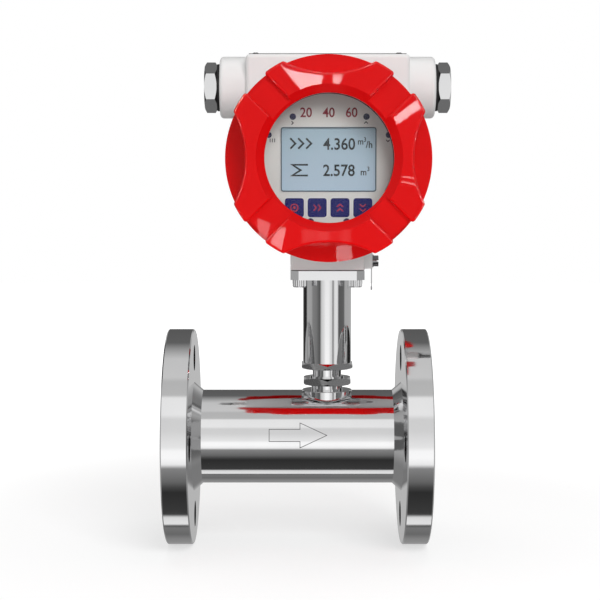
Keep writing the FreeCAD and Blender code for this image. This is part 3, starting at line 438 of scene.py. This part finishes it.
class Sheet:
    """A flat drawing that becomes a thin solid on a plane, in millimetres about an origin."""

    def __init__(self):
        self.mesh = bmesh.new()

    def polygon(self, points, thick=INK_THICK):
        """A closed outline, given anticlockwise, as a plate of the given thickness."""
        low = [self.mesh.verts.new((x * MM, 0.0, z * MM)) for x, z in points]
        high = [self.mesh.verts.new((x * MM, -thick * MM, z * MM)) for x, z in points]
        self.mesh.faces.new(high)
        self.mesh.faces.new(low[::-1])
        for i in range(len(points)):
            j = (i + 1) % len(points)
            self.mesh.faces.new((low[i], low[j], high[j], high[i]))

    def disc(self, x, z, radius, thick=INK_THICK, parts=32):
        """A round dot about (x, z)."""
        angles = [2 * math.pi * i / parts for i in range(parts)]
        self.polygon([(x + radius * math.cos(a), z + radius * math.sin(a)) for a in angles], thick)

    def stroke(self, points, width, thick=INK_THICK):
        """A bent line of even width with mitred corners, which narrow a little at a sharp bend."""
        left, right = [], []
        for i, point in enumerate(points):
            here = Vector(point)
            before = (here - Vector(points[i - 1])).normalized() if i else None
            after = (Vector(points[i + 1]) - here).normalized() if i + 1 < len(points) else None
            along = (before + after).normalized() if before and after else (before or after)
            side = Vector((-along.y, along.x))
            reach = width / 2
            if before and after:
                reach /= max(MITRE_LIMIT, side.dot(Vector((-before.y, before.x))))
            left.append(tuple(here + side * reach))
            right.append(tuple(here - side * reach))
        self.polygon(right + left[::-1], thick)

    def frame_line(self, x, z, width, height, corner, line, thick=INK_THICK):
        """A closed rounded rectangle drawn as a line."""
        outer = rounded(x, z, width + line, height + line, corner + line / 2)
        inner = rounded(x, z, width - line, height - line, corner - line / 2)
        rings = []
        for depth in (0.0, -thick * MM):
            for loop in (outer, inner):
                rings.append([self.mesh.verts.new((u * MM, depth, v * MM)) for u, v in loop])
        back_out, back_in, front_out, front_in = rings
        for i in range(len(outer)):
            j = (i + 1) % len(outer)
            self.mesh.faces.new((front_out[i], front_out[j], front_in[j], front_in[i]))
            self.mesh.faces.new((back_out[j], back_out[i], back_in[i], back_in[j]))
            self.mesh.faces.new((back_out[i], back_out[j], front_out[j], front_out[i]))
            self.mesh.faces.new((back_in[j], back_in[i], front_in[i], front_in[j]))

    def piece(self, name, place, finish, body, slot):
        """The finished object, moved to its place in the part's frame."""
        bmesh.ops.recalc_face_normals(self.mesh, faces=self.mesh.faces)
        self.mesh.transform(Matrix.Translation(place))
        data = bpy.data.meshes.new(name)
        self.mesh.to_mesh(data)
        self.mesh.free()
        return add_piece(name, data, finish, body)


def rounded(x, z, width, height, corner, parts=6):
    """The points of a rounded rectangle, anticlockwise."""
    points = []
    for quarter, (side, rise) in enumerate(((1, 1), (-1, 1), (-1, -1), (1, -1))):
        mid_x = x + side * (width / 2 - corner)
        mid_z = z + rise * (height / 2 - corner)
        for i in range(parts + 1):
            angle = math.pi / 2 * (quarter + i / parts)
            points.append((mid_x + corner * math.cos(angle), mid_z + corner * math.sin(angle)))
    return points


def add_piece(name, data, finish, body):
    """Puts a mesh in the scene, on the body that it moves with."""
    piece = bpy.data.objects.new(name, data)
    bpy.context.scene.collection.objects.link(piece)
    data.materials.clear()
    data.materials.append(finish)
    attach(piece, body)
    return piece


def evaluated_mesh(piece):
    """The mesh of an object with its modifiers applied. The object goes."""
    bpy.context.view_layer.update()
    mesh = bpy.data.meshes.new_from_object(piece.evaluated_get(bpy.context.evaluated_depsgraph_get()))
    bpy.data.objects.remove(piece)
    return mesh


def writing(name, lines, place, finish, body):
    """Numbers as thin solids. Each line is (text, x, z, height, width factor), in millimetres."""
    gathered = bmesh.new()
    turn = Matrix.Rotation(math.pi / 2, 4, "X")
    thick = INK_THICK * MM
    for text, x, z, height, narrow in lines:
        curve = bpy.data.curves.new("line_of_text", "FONT")
        curve.body = text
        curve.size = 1.0
        curve.extrude = 0.5
        curve.offset = FIGURE_WEIGHT
        curve.resolution_u = 4
        holder = bpy.data.objects.new("line_of_text", curve)
        bpy.context.scene.collection.objects.link(holder)
        flat = evaluated_mesh(holder)
        size = height / FIGURE_HEIGHT * MM
        stretch = Matrix.Diagonal((size * narrow, size, thick, 1.0))
        flat.transform(Matrix.Translation((x * MM, -thick / 2, z * MM)) @ turn @ stretch)
        gathered.from_mesh(flat)
        bpy.data.meshes.remove(flat)
    bmesh.ops.remove_doubles(gathered, verts=gathered.verts, dist=MERGE)
    bmesh.ops.recalc_face_normals(gathered, faces=gathered.faces)
    gathered.transform(Matrix.Translation(place))
    data = bpy.data.meshes.new(name)
    gathered.to_mesh(data)
    gathered.free()
    return add_piece(name, data, finish, body)


def chevron(sheet, x, z, size, turn, width, flat=0.5):
    """An open arrow head about (x, z), pointing to the right before it is turned."""
    angle = math.radians(turn)
    across, up = math.cos(angle), math.sin(angle)
    points = [(-flat * size, size), (flat * size, 0), (-flat * size, -size)]
    sheet.stroke([(x + u * across - v * up, z + u * up + v * across) for u, v in points], width)


def middle(name, axis):
    """The middle of a node's box along one axis."""
    return sum(getattr(corner, axis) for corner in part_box(name)) / 2


# The head's axis, the cover's front, the keys' front, and where the axis meets the panel and the display
AXIS_X = middle("front_cover", "x")
AXIS_Z = middle("front_cover", "z")
FRONT_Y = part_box("front_cover")[0].y
KEY_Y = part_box("set_key")[0].y
panel_centre = (AXIS_X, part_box("display_panel")[0].y, AXIS_Z)
face_centre = (AXIS_X, display_low.y, AXIS_Z)

dark_ink = printed("ink_dark", (0.004, 0.008, 0.012))
grey_ink = printed("ink_slate", linear(84, 98, 112))
wine_ink = printed("ink_wine", linear(132, 26, 44))
blue_ink = printed("ink_violet", linear(30, 24, 66))
key_red = printed("ink_key_red", linear(190, 50, 62))
pale_ink = printed("ink_white", linear(238, 238, 238))
# Black ink for the signs on the panel, used as well for the painted shadow along the panel's rim
black_ink_and_painted_shadow = printed("ink_black_and_painted_shadow", linear(52, 50, 60))

# The print is laid out in millimetres about the axis. A line of writing is text, x, z, height, width factor
writing("reading_digits", [
    ("4.360", -3.6, 5.9, 7.7, 0.90),
    ("2.578", -3.8, -11.3, 7.7, 0.90),
    ("m", 18.9, 9.2, 4.2, 0.9),
    ("3", 22.9, 11.0, 3.0, 0.85),
    ("/h", 24.4, 7.0, 4.6, 0.9),
    ("m", 20.8, -10.9, 4.4, 0.9),
    ("3", 25.2, -8.2, 3.0, 0.85),
], face_centre, dark_ink, "head")

# Three chevrons stand before the flow, and a sum sign before the total
READING_STROKE = 1.2
marks = Sheet()
for x in (-23.5, -18.3, -13.1):
    chevron(marks, x, 9.8, 3.4, 0, READING_STROKE)
marks.stroke([(-13.6, -4.1), (-23.8, -4.1), (-18.4, -7.6), (-23.8, -11.1), (-13.6, -11.1)], READING_STROKE)
marks.piece("reading_signs", face_centre, dark_ink, "head", "display_face")

edge = Sheet()
edge.frame_line(x=-0.05, z=-0.6, width=62.0, height=41.5, corner=1.4, line=0.7, thick=0.5)
edge.piece("display_edge", panel_centre, grey_ink, "head", "display_face")

scale = [(text, x, 27.1, 6.4, 0.9) for text, x in (("20", -18.8), ("40", -3.9), ("60", 11.0))]
writing("panel_scale", scale, panel_centre, wine_ink, "head")

# Each dot is x, z, radius
dots = Sheet()
for dot in ((-23.5, 27.3, 2.1), (24.7, 27.3, 2.1),
            (-39.3, 15.4, 2.0), (-11.9, -41.5, 2.4), (-31.0, -30.6, 0.9),
            (39.3, 15.4, 2.0), (11.9, -41.5, 2.4), (31.0, -30.6, 0.9)):
    dots.disc(*dot)
dots.piece("panel_dots", panel_centre, blue_ink, "head", "panel_film")

signs = Sheet()
chevron(signs, -23.8, 23.2, 1.1, 0, 0.62)
chevron(signs, 24.4, 23.4, 1.2, 90, 0.6)
chevron(signs, 38.8, 11.6, 1.2, 270, 0.6)
for x in (-38.4, -36.9, -35.4):
    signs.stroke([(x, 10.6), (x, 13.0)], 0.5)
signs.piece("panel_signs", panel_centre, black_ink_and_painted_shadow, "head", "panel_film")

# The panel's painted shadow under the cover's rim is a dark arc, in degrees, that stops short of the keys
# at both ends
PAINTED_SHADOW_RADIUS = 43.5
painted_shadow_arc = Sheet()
painted_shadow_turns = [math.radians(degrees) for degrees in range(-30, 211, 3)]
painted_shadow_arc.stroke([(PAINTED_SHADOW_RADIUS * math.cos(turn), PAINTED_SHADOW_RADIUS * math.sin(turn)) for turn in painted_shadow_turns],
              width=2.3, thick=0.1)
painted_shadow_arc.piece("panel_painted_shadow", panel_centre, black_ink_and_painted_shadow, "head", "panel_film")

# A pale line runs round each key, and the signs on the keys are as thin as it is
KEY_INK = 0.08
halo = Sheet()
key_low, key_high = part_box("set_key")
key_line = (key_high.x - key_low.x) / MM - 0.4
for name in ("set_key", "shift_key", "up_key", "down_key"):
    x = (middle(name, "x") - AXIS_X) / MM
    z = (middle(name, "z") - AXIS_Z) / MM
    halo.frame_line(x, z, key_line, key_line, corner=2.2, line=0.7, thick=KEY_INK)
halo.piece("key_borders", panel_centre, pale_ink, "head", "panel_film")


def key_sign(name, draw):
    """The red sign on one key, which moves with it."""
    sheet = Sheet()
    draw(sheet)
    place = (middle(name, "x"), KEY_Y, middle(name, "z"))
    sheet.piece(f"{name}_sign", place, key_red, f"{name}_body", "key_film")


def ring_sign(sheet):
    """Draws a rounded ring with a dot in it."""
    sheet.frame_line(0.0, 0.0, 4.6, 4.6, corner=2.1, line=0.7, thick=KEY_INK)
    sheet.disc(0.0, 0.0, 0.9, KEY_INK)


def double_chevron(turn):
    """Draws two chevrons, one behind the other, that point the way of the turn in degrees."""
    def draw(sheet):
        angle = math.radians(turn)
        for along in (-1.45, 1.45):
            chevron(sheet, along * math.cos(angle), along * math.sin(angle), 2.0, turn, 0.65, 0.42)
    return draw


key_sign("set_key", ring_sign)
key_sign("shift_key", double_chevron(0))
key_sign("up_key", double_chevron(90))
key_sign("down_key", double_chevron(270))


# The flow arrow on the front of the pipe, drawn as a thin dark line on the steel. The pipe lies along X
PIPE_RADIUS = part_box("meter_pipe")[1].y


def wrapped_arrow(start, shaft, head, half_shaft, half_head, rise, line, thick):
    """An arrow's outline laid round the pipe. Lengths are in millimetres, and rise in degrees."""
    outline = [(0, -half_shaft), (shaft, -half_shaft), (shaft, -half_head), (shaft + head, 0),
               (shaft, half_head), (shaft, half_shaft), (0, half_shaft)]
    sheet = bmesh.new()
    for i, first in enumerate(outline):
        a = Vector(first)
        b = Vector(outline[(i + 1) % len(outline)])
        along = (b - a).normalized()
        side = Vector((-along.y, along.x)) * line / 2
        count = max(2, int((b - a).length))
        rows = []
        for step in range(count + 1):
            mid = a - along * line / 2 + (b - a + along * line) * step / count
            row = []
            for reach, lift in ((side, 0.0), (side, thick), (-side, thick), (-side, 0.0)):
                u, v = mid + reach
                angle = math.radians(rise) + v * MM / PIPE_RADIUS
                out = PIPE_RADIUS + lift * MM
                point = ((start + u) * MM, -out * math.cos(angle), out * math.sin(angle))
                row.append(sheet.verts.new(point))
            rows.append(row)
        for one, two in zip(rows, rows[1:]):
            for k in range(4):
                sheet.faces.new((one[k], one[(k + 1) % 4], two[(k + 1) % 4], two[k]))
        sheet.faces.new(rows[0])
        sheet.faces.new(rows[-1][::-1])
    bmesh.ops.recalc_face_normals(sheet, faces=sheet.faces)
    data = bpy.data.meshes.new("flow_arrow")
    sheet.to_mesh(data)
    sheet.free()
    return add_piece("flow_arrow", data, etched, "pipeline")


etched = printed("etched_line", (0.12, 0.12, 0.125))
wrapped_arrow(start=70.7, shaft=21.0, head=18.2, half_shaft=4.15, half_head=8.55, rise=9.6, line=0.44,
              thick=0.035)


# Knurled rims of the four socket screws, made by Geometry Nodes
def knurl_tree(name):
    """A tree that sets ridges round a circle at each corner of a square."""
    tree = bpy.data.node_groups.new(name, "GeometryNodeTree")
    tree.interface.new_socket("Geometry", in_out="INPUT", socket_type="NodeSocketGeometry")
    for label in ("Head Radius", "Ridge Length", "Corner Place", "Ridge Radius"):
        tree.interface.new_socket(label, in_out="INPUT", socket_type="NodeSocketFloat")
    tree.interface.new_socket("Ridges", in_out="INPUT", socket_type="NodeSocketInt")
    tree.interface.new_socket("Finish", in_out="INPUT", socket_type="NodeSocketMaterial")
    tree.interface.new_socket("Geometry", in_out="OUTPUT", socket_type="NodeSocketGeometry")

    def add(kind, settings=None, **inputs):
        made = tree.nodes.new(kind)
        for key, value in (settings or {}).items():
            setattr(made, key, value)
        for key, value in inputs.items():
            target = made.inputs[key.replace("_", " ")]
            if isinstance(value, bpy.types.NodeSocket):
                tree.links.new(value, target)
            else:
                target.default_value = value
        return made

    given = add("NodeGroupInput").outputs
    ridge = add("GeometryNodeMeshCylinder", Vertices=6, Radius=given["Ridge Radius"],
                Depth=given["Ridge Length"])
    ring = add("GeometryNodeMeshCircle", Vertices=given["Ridges"], Radius=given["Head Radius"])
    around = add("GeometryNodeInstanceOnPoints", Points=ring.outputs["Mesh"],
                 Instance=ridge.outputs["Mesh"])
    double = add("ShaderNodeMath", {"operation": "MULTIPLY"})
    tree.links.new(given["Corner Place"], double.inputs[0])
    double.inputs[1].default_value = 2.0
    grid = add("GeometryNodeMeshGrid", Size_X=double.outputs[0], Size_Y=double.outputs[0],
               Vertices_X=2, Vertices_Y=2)
    corners = add("GeometryNodeInstanceOnPoints", Points=grid.outputs["Mesh"],
                  Instance=around.outputs["Instances"])
    real = add("GeometryNodeRealizeInstances", Geometry=corners.outputs["Instances"])
    done = add("GeometryNodeSetMaterial", Geometry=real.outputs["Geometry"], Material=given["Finish"])
    out = tree.nodes.new("NodeGroupOutput")
    tree.links.new(done.outputs["Geometry"], out.inputs[0])
    return tree


def run_tree(name, tree, inputs):
    """The mesh that a Geometry Nodes tree makes on an empty object, with the modifier gone."""
    holder = bpy.data.objects.new(name, bpy.data.meshes.new(name))
    bpy.context.scene.collection.objects.link(holder)
    modifier = holder.modifiers.new("nodes", "NODES")
    modifier.node_group = tree
    for item in tree.interface.items_tree:
        if item.item_type == "SOCKET" and item.in_out == "INPUT" and item.name in inputs:
            modifier[item.identifier] = inputs[item.name]
    return evaluated_mesh(holder)


# Each head's ridges stand 0.35 mm out of it. Their length and the height of their middle are shares of the
# head's height, so that its lower rim stays plain
HEAD_RADIUS = 4.25 * MM
RIDGE_RADIUS = 0.55 * MM
RIDGE_SINK = 0.2 * MM
RIDGE_LENGTH = 0.84
RIDGE_MIDDLE = 0.56
screw_low, screw_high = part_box("plate_screws")
head_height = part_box("square_plate")[0].z - screw_low.z
knurl = run_tree("plate_screw_knurls", knurl_tree("knurled_heads"), {
    "Head Radius": HEAD_RADIUS - RIDGE_SINK,
    "Ridge Length": head_height * RIDGE_LENGTH,
    "Corner Place": (screw_high.x - screw_low.x) / 2 - HEAD_RADIUS,
    "Ridge Radius": RIDGE_RADIUS,
    "Ridges": 18,
    "Finish": upright_steel,
})
knurl.transform(Matrix.Translation((AXIS_X, 0.0, screw_low.z + head_height * RIDGE_MIDDLE)))
add_piece("plate_screw_knurls", knurl, upright_steel, "head")


# Pan-head screws of the name plate, with a cross recess
def pan_screw_blank(radius, height, cross, shank, reach):
    """A domed head on a shank, about the origin, and the cross to cut into it, 60 % of its height deep."""
    profile = [(0.0, height), (radius * 0.45, height * 0.97), (radius * 0.75, height * 0.82),
               (radius * 0.94, height * 0.5), (radius, height * 0.2), (radius * 0.97, 0.0), (shank, 0.0),
               (shank, -reach), (0.0, -reach)]
    body = bmesh.new()
    ring = [body.verts.new((x, 0.0, z)) for x, z in profile]
    edges = [body.edges.new(pair) for pair in zip(ring, ring[1:])]
    bmesh.ops.spin(body, geom=ring + edges, cent=(0, 0, 0), axis=(0, 0, 1), angle=2 * math.pi, steps=48)
    bmesh.ops.remove_doubles(body, verts=body.verts, dist=MERGE)
    bmesh.ops.recalc_face_normals(body, faces=body.faces)
    cutter = bmesh.new()
    slit = cross * 0.26
    for long_x, long_y in ((cross, slit), (slit, cross)):
        size = Matrix.Diagonal((long_x, long_y, height * 1.4, 1.0))
        bmesh.ops.create_cube(cutter, size=1.0, matrix=Matrix.Translation((0, 0, height * 1.1)) @ size)
    return as_object("screw_blank", body), as_object("cross_cutter", cutter)


def as_object(name, mesh):
    """A plain object for a step between. It doesn't stay in the scene."""
    data = bpy.data.meshes.new(name)
    mesh.to_mesh(data)
    mesh.free()
    made = bpy.data.objects.new(name, data)
    bpy.context.scene.collection.objects.link(made)
    return made


def cut_away(blank, cutter):
    """The blank's mesh with the cutter taken out of it. Both objects go."""
    modifier = blank.modifiers.new("cut", "BOOLEAN")
    modifier.operation = "DIFFERENCE"
    modifier.solver = "EXACT"
    modifier.use_self = True
    modifier.object = cutter
    mesh = evaluated_mesh(blank)
    bpy.data.objects.remove(cutter)
    return mesh


def name_plate_screws():
    """Two pan-head screws, as far apart and as large as the plain ones that they replace."""
    low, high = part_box("name_plate_screws")
    plate_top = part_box("name_plate")[1].z
    radius = (high.y - low.y) / 2
    blank, cross = pan_screw_blank(radius, height=high.z - plate_top, cross=radius * 1.1,
                                   shank=radius * 0.55, reach=plate_top - low.z)
    one = cut_away(blank, cross)
    both = bmesh.new()
    for x in (low.x + radius, high.x - radius):
        copy = one.copy()
        copy.transform(Matrix.Translation((x, 0.0, plate_top)))
        both.from_mesh(copy)
    data = bpy.data.meshes.new("cross_head_screws")
    both.to_mesh(data)
    both.free()
    piece = add_piece("cross_head_screws", data, pan_steel, "head")
    for face in data.polygons:
        face.use_smooth = True
    piece.data.set_sharp_from_angle(angle=math.radians(35))
    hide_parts("name_plate_screws")


name_plate_screws()


# Floor, light and camera

# The floor's glow rises over these distances from the part, so that its shadow shows near it
GLOW_FROM = 0.22
GLOW_TO = 0.75
GLOW_NEAR = 0.60


def floor_material():
    """A pale floor that the eye sees white away from the shadows."""
    material, f = new_material("floor_pale")
    eye, through = f.rays("Is Camera Ray", "Is Transmission Ray")
    across, along, _ = f.split(f.object_place())
    aside = across - AXIS_X
    away = f.math("SQRT", aside * aside + along * along)
    glow = GLOW_NEAR + away.step(GLOW_FROM, GLOW_TO) * (1.0 - GLOW_NEAR)
    plain = f.node("ShaderNodeBsdfDiffuse", None, {"Color": (0.5, 0.5, 0.5, 1)})
    lifted = f.node("ShaderNodeAddShader", None, {0: plain, 1: f.emit((1.0, 1.0, 1.0), glow)})
    f.close(f.mix_shaders(f.math("MAXIMUM", eye, through), plain, lifted))
    return material


def tones(f, angle, stops):
    """A grey for each angle. The stops are in degrees, from -180 to 180."""
    places = [((degrees + 180) / 360, (tone,) * 3) for degrees, tone in stops]
    return f.node("ShaderNodeValToRGB", {"stops": places}, {"Fac": angle / (2 * math.pi) + 0.5})


def studio_mirror(f, direction):
    """What shiny parts see: soft boxes with dark gaps between them.

    They go by height near the middle, and by bearing at the sides.
    """
    across, along, up = f.split(direction)
    front = along * -1.0
    bearing = tones(f, f.math("ARCTAN2", across, front), [
        (-180, 0.55), (-152, 0.50), (-146, 0.02), (-116, 0.02), (-108, 0.42), (-80, 0.38), (-72, 0.24),
        (-52, 0.20), (-34, 0.09), (-28, 0.60), (-20, 0.78), (22, 0.80), (24, 0.35), (31, 0.35), (35, 0.85),
        (50, 0.85), (56, 0.11), (86, 0.13), (94, 0.42), (150, 0.45), (180, 0.55)])
    height = tones(f, f.math("ARCTAN2", up, front), [
        (-180, 0.55), (-165, 0.45), (-150, 0.30), (-130, 0.25), (-118, 0.16), (-104, 0.20), (-100, 0.07),
        (-97, 0.90), (-86, 0.80), (-82, 0.05), (-52, 0.03), (-46, 0.07), (-40, 0.15), (-25, 0.26),
        (-21, 0.98), (-14, 1.12), (-7, 1.10), (-3, 0.92), (3, 0.86), (14, 0.74), (26, 0.72), (31, 0.92),
        (49, 0.90), (52, 0.54), (68, 0.52), (73, 0.64), (98, 0.62), (110, 0.40), (126, 0.13), (172, 0.10),
        (180, 0.55)])
    overhead = f.blend(along.step(-0.35, 0.35), (0.60, 0.60, 0.60), (0.16, 0.16, 0.16))
    sides = f.blend(up.step(0.30, 0.62), bearing, overhead)
    sides = f.blend((up * -1.0).step(0.30, 0.62), sides, (0.22, 0.22, 0.22))
    return f.blend(f.math("ABSOLUTE", across).step(0.10, 0.30), height, sides)


def make_floor():
    """A square of floor, 6 m across, under the lowest point of the part. Metal doesn't mirror it."""
    half = 3.0
    data = bpy.data.meshes.new("floor")
    corners = [(x * half, y * half, cad_box[0].z) for x, y in ((-1, -1), (1, -1), (1, 1), (-1, 1))]
    data.from_pydata(corners, [], [(0, 1, 2, 3)])
    data.materials.append(floor_material())
    floor = bpy.data.objects.new("floor", data)
    bpy.context.scene.collection.objects.link(floor)
    floor.visible_glossy = False


def build_world():
    """White to the eye, soft grey to dull surfaces, and a banded studio to whatever mirrors it."""
    world = bpy.data.worlds.new("studio")
    bpy.context.scene.world = world
    world.use_nodes = True
    f = Finish(world.node_tree)
    mirrored = studio_mirror(f, f.node("ShaderNodeTexCoord", output="Generated"))
    eye, through, mirror = f.rays("Is Camera Ray", "Is Transmission Ray", "Is Glossy Ray")
    soft = f.blend(mirror, (0.42, 0.42, 0.42), mirrored)
    colour = f.blend(f.math("MAXIMUM", eye, through), soft, (1.0, 1.0, 1.0))
    shader = f.node("ShaderNodeBackground", None, {"Color": colour, "Strength": 1.0})
    f.close(shader, "ShaderNodeOutputWorld")


def group_of(name, *parts):
    """The parts that a lamp or a card is kept for."""
    group = bpy.data.collections.new(name)
    for part in parts:
        group.objects.link(nodes[part])
    return group


def soft_box(name, place, target, width, height, radiance, only=None):
    """A rectangular lamp that faces its target. Radiance is what the eye would see on its face."""
    data = bpy.data.lights.new(name, "AREA")
    data.shape = "RECTANGLE"
    data.size = width
    data.size_y = height
    data.energy = radiance * math.pi * width * height
    lamp = bpy.data.objects.new(name, data)
    bpy.context.scene.collection.objects.link(lamp)
    lamp.location = place
    lamp.rotation_euler = (Vector(target) - Vector(place)).to_track_quat("-Z", "Y").to_euler()
    lamp.visible_glossy = False
    lamp.visible_camera = False
    lamp.light_linking.receiver_collection = only


def gloss_card(name, corners, radiance, streaks=0.0):
    """A bright card that only shows in the cover's gloss and lights nothing. Streaks run up and down it.

    It is clear as well as bright, so the metal, which it is not linked to, looks through it.
    """
    data = bpy.data.meshes.new(name)
    data.from_pydata(corners, [], [tuple(range(len(corners)))])
    material, f = new_material(name)
    bars = f.noise(1.0, 2.0, f.stretched((60.0, 1.0, 1.0)), 0.7).step(0.35, 0.65)
    clear = f.node("ShaderNodeBsdfTransparent")
    shine = f.emit((1.0, 1.0, 1.0), radiance * CARD_GAIN * (1.0 - streaks * bars))
    f.close(f.node("ShaderNodeAddShader", None, {0: clear, 1: shine}))
    data.materials.append(material)
    card = bpy.data.objects.new(name, data)
    bpy.context.scene.collection.objects.link(card)
    card.visible_camera = False
    card.visible_diffuse = False
    card.visible_transmission = False
    card.visible_shadow = False
    card.light_linking.receiver_collection = cover_only


def crown_card(name, outline, radiance, streaks=0.0):
    """A card in front, set where the cover's flat face mirrors it at the outline, in mm about its axis."""
    eye = Vector(CAMERA_PLACE)
    corners = []
    for x, z in outline:
        point = Vector((AXIS_X + x * MM, FRONT_Y, AXIS_Z + z * MM))
        ray = point - eye
        ray.y = -ray.y
        corners.append(point + ray * (CARD_Y - point.y) / ray.y)
    gloss_card(name, corners, radiance, streaks)


def strip_card(name, place, width, height, radiance):
    """An upright or lying strip that faces the head, for the thin highlights on rounded edges."""
    centre = Vector(place)
    toward = (Vector((AXIS_X, 0.0, AXIS_Z)) - centre).normalized()
    side = toward.cross(Vector((0, 0, 1))).normalized()
    up = side.cross(toward)
    corners = [centre + side * u * width / 2 + up * v * height / 2
               for u, v in ((-1, -1), (1, -1), (1, 1), (-1, 1))]
    gloss_card(name, corners, radiance)


# Where the cards in front stand, and what every card's radiance is raised by
CARD_Y = -1.6
CARD_GAIN = 1.4

cover_only = group_of("cover_only", "front_cover")
painted_front = group_of("painted_front", "front_cover", "housing")
painted_rear = group_of("painted_rear", "rear_cover", "housing")
make_floor()
build_world()

# Lamps: name, place, target, width, height, radiance, and the parts that a lamp is kept for
soft_box("key_lamp", (0.56, -1.38, 0.96), (0.11, -0.05, 0.15), 0.8, 0.8, 7.5)
soft_box("top_lamp", (0.1, 0.10, 1.30), (0.1, 0.0, 0.1), 0.9, 0.6, 1.6)
soft_box("cover_fill", (0.11, -0.38, -0.05), (0.11, -0.08, 0.19), 0.5, 0.2, 1.2, painted_front)
soft_box("under_fill", (0.11, -0.13, -0.05), (0.11, -0.06, 0.13), 0.3, 0.12, 2.6, cover_only)
soft_box("left_fill", (-0.75, -0.45, 0.22), (0.05, -0.06, 0.19), 0.5, 0.5, 1.6, painted_front)
soft_box("back_lamp", (-0.35, 1.30, 0.85), (0.11, 0.05, 0.19), 0.8, 0.8, 4.5, painted_rear)

# Cards: name, outline of the highlight on the crown in mm, radiance, and the depth of any streaks
crown_card("card_top_left", [(-31, 58.8), (-26.5, 56.2), (-16.5, 53.6), (-4, 52.2), (-5.4, 44), (-9.3, 42),
                             (-16, 40)], 74.0)
crown_card("card_top_streak", [(2.5, 52.4), (9.0, 52.6), (4.6, 41), (0.2, 41)], 52.0)
crown_card("card_right", [(40.5, 25.2), (55.8, 36.8), (58.6, 31.5), (43.2, 21.2)], 70.0)
crown_card("card_right_line_1", [(46, -11.2), (56, -13.0), (56, -14.0), (46, -12.2)], 40.0)
crown_card("card_right_line_2", [(45.5, -14.4), (56, -16.6), (56, -18.2), (45.5, -15.8)], 28.0)
crown_card("card_low_left", [(-34, -46), (-27.5, -44.5), (-31, -60), (-39, -58)], 34.0)
crown_card("card_low", [(4.9, -57), (15.1, -57), (15.1, -68), (4.9, -68)], 26.0)
crown_card("card_channel", [(-46, -38), (-38, -42), (-40, -54), (-46, -50)], 18.0)
crown_card("card_bottom", [(-18, -46), (14, -46), (14, -57), (-18, -57)], 7.0, 0.8)

# Strips: name, place, width, height, radiance
strip_card("strip_left", (-0.95, -1.05, 0.75), 0.16, 1.0, 150.0)
strip_card("strip_right", (1.17, -1.05, 0.75), 0.16, 1.0, 150.0)
strip_card("strip_top", (0.11, -0.80, 1.15), 0.9, 0.14, 150.0)
strip_card("strip_low_left", (-0.95, -1.05, -0.37), 0.16, 1.0, 110.0)
strip_card("strip_low_right", (1.17, -1.05, -0.37), 0.16, 1.0, 110.0)

camera_data = bpy.data.cameras.new("view")
camera_data.lens = CAMERA_LENS
camera_data.sensor_width = CAMERA_SENSOR
camera = bpy.data.objects.new("view", camera_data)
bpy.context.scene.collection.objects.link(camera)
camera.location = CAMERA_PLACE
camera.rotation_euler = (math.radians(90 - CAMERA_DIP), 0.0, 0.0)
bpy.context.scene.camera = camera
bpy.context.scene.view_settings.view_transform = "Standard"
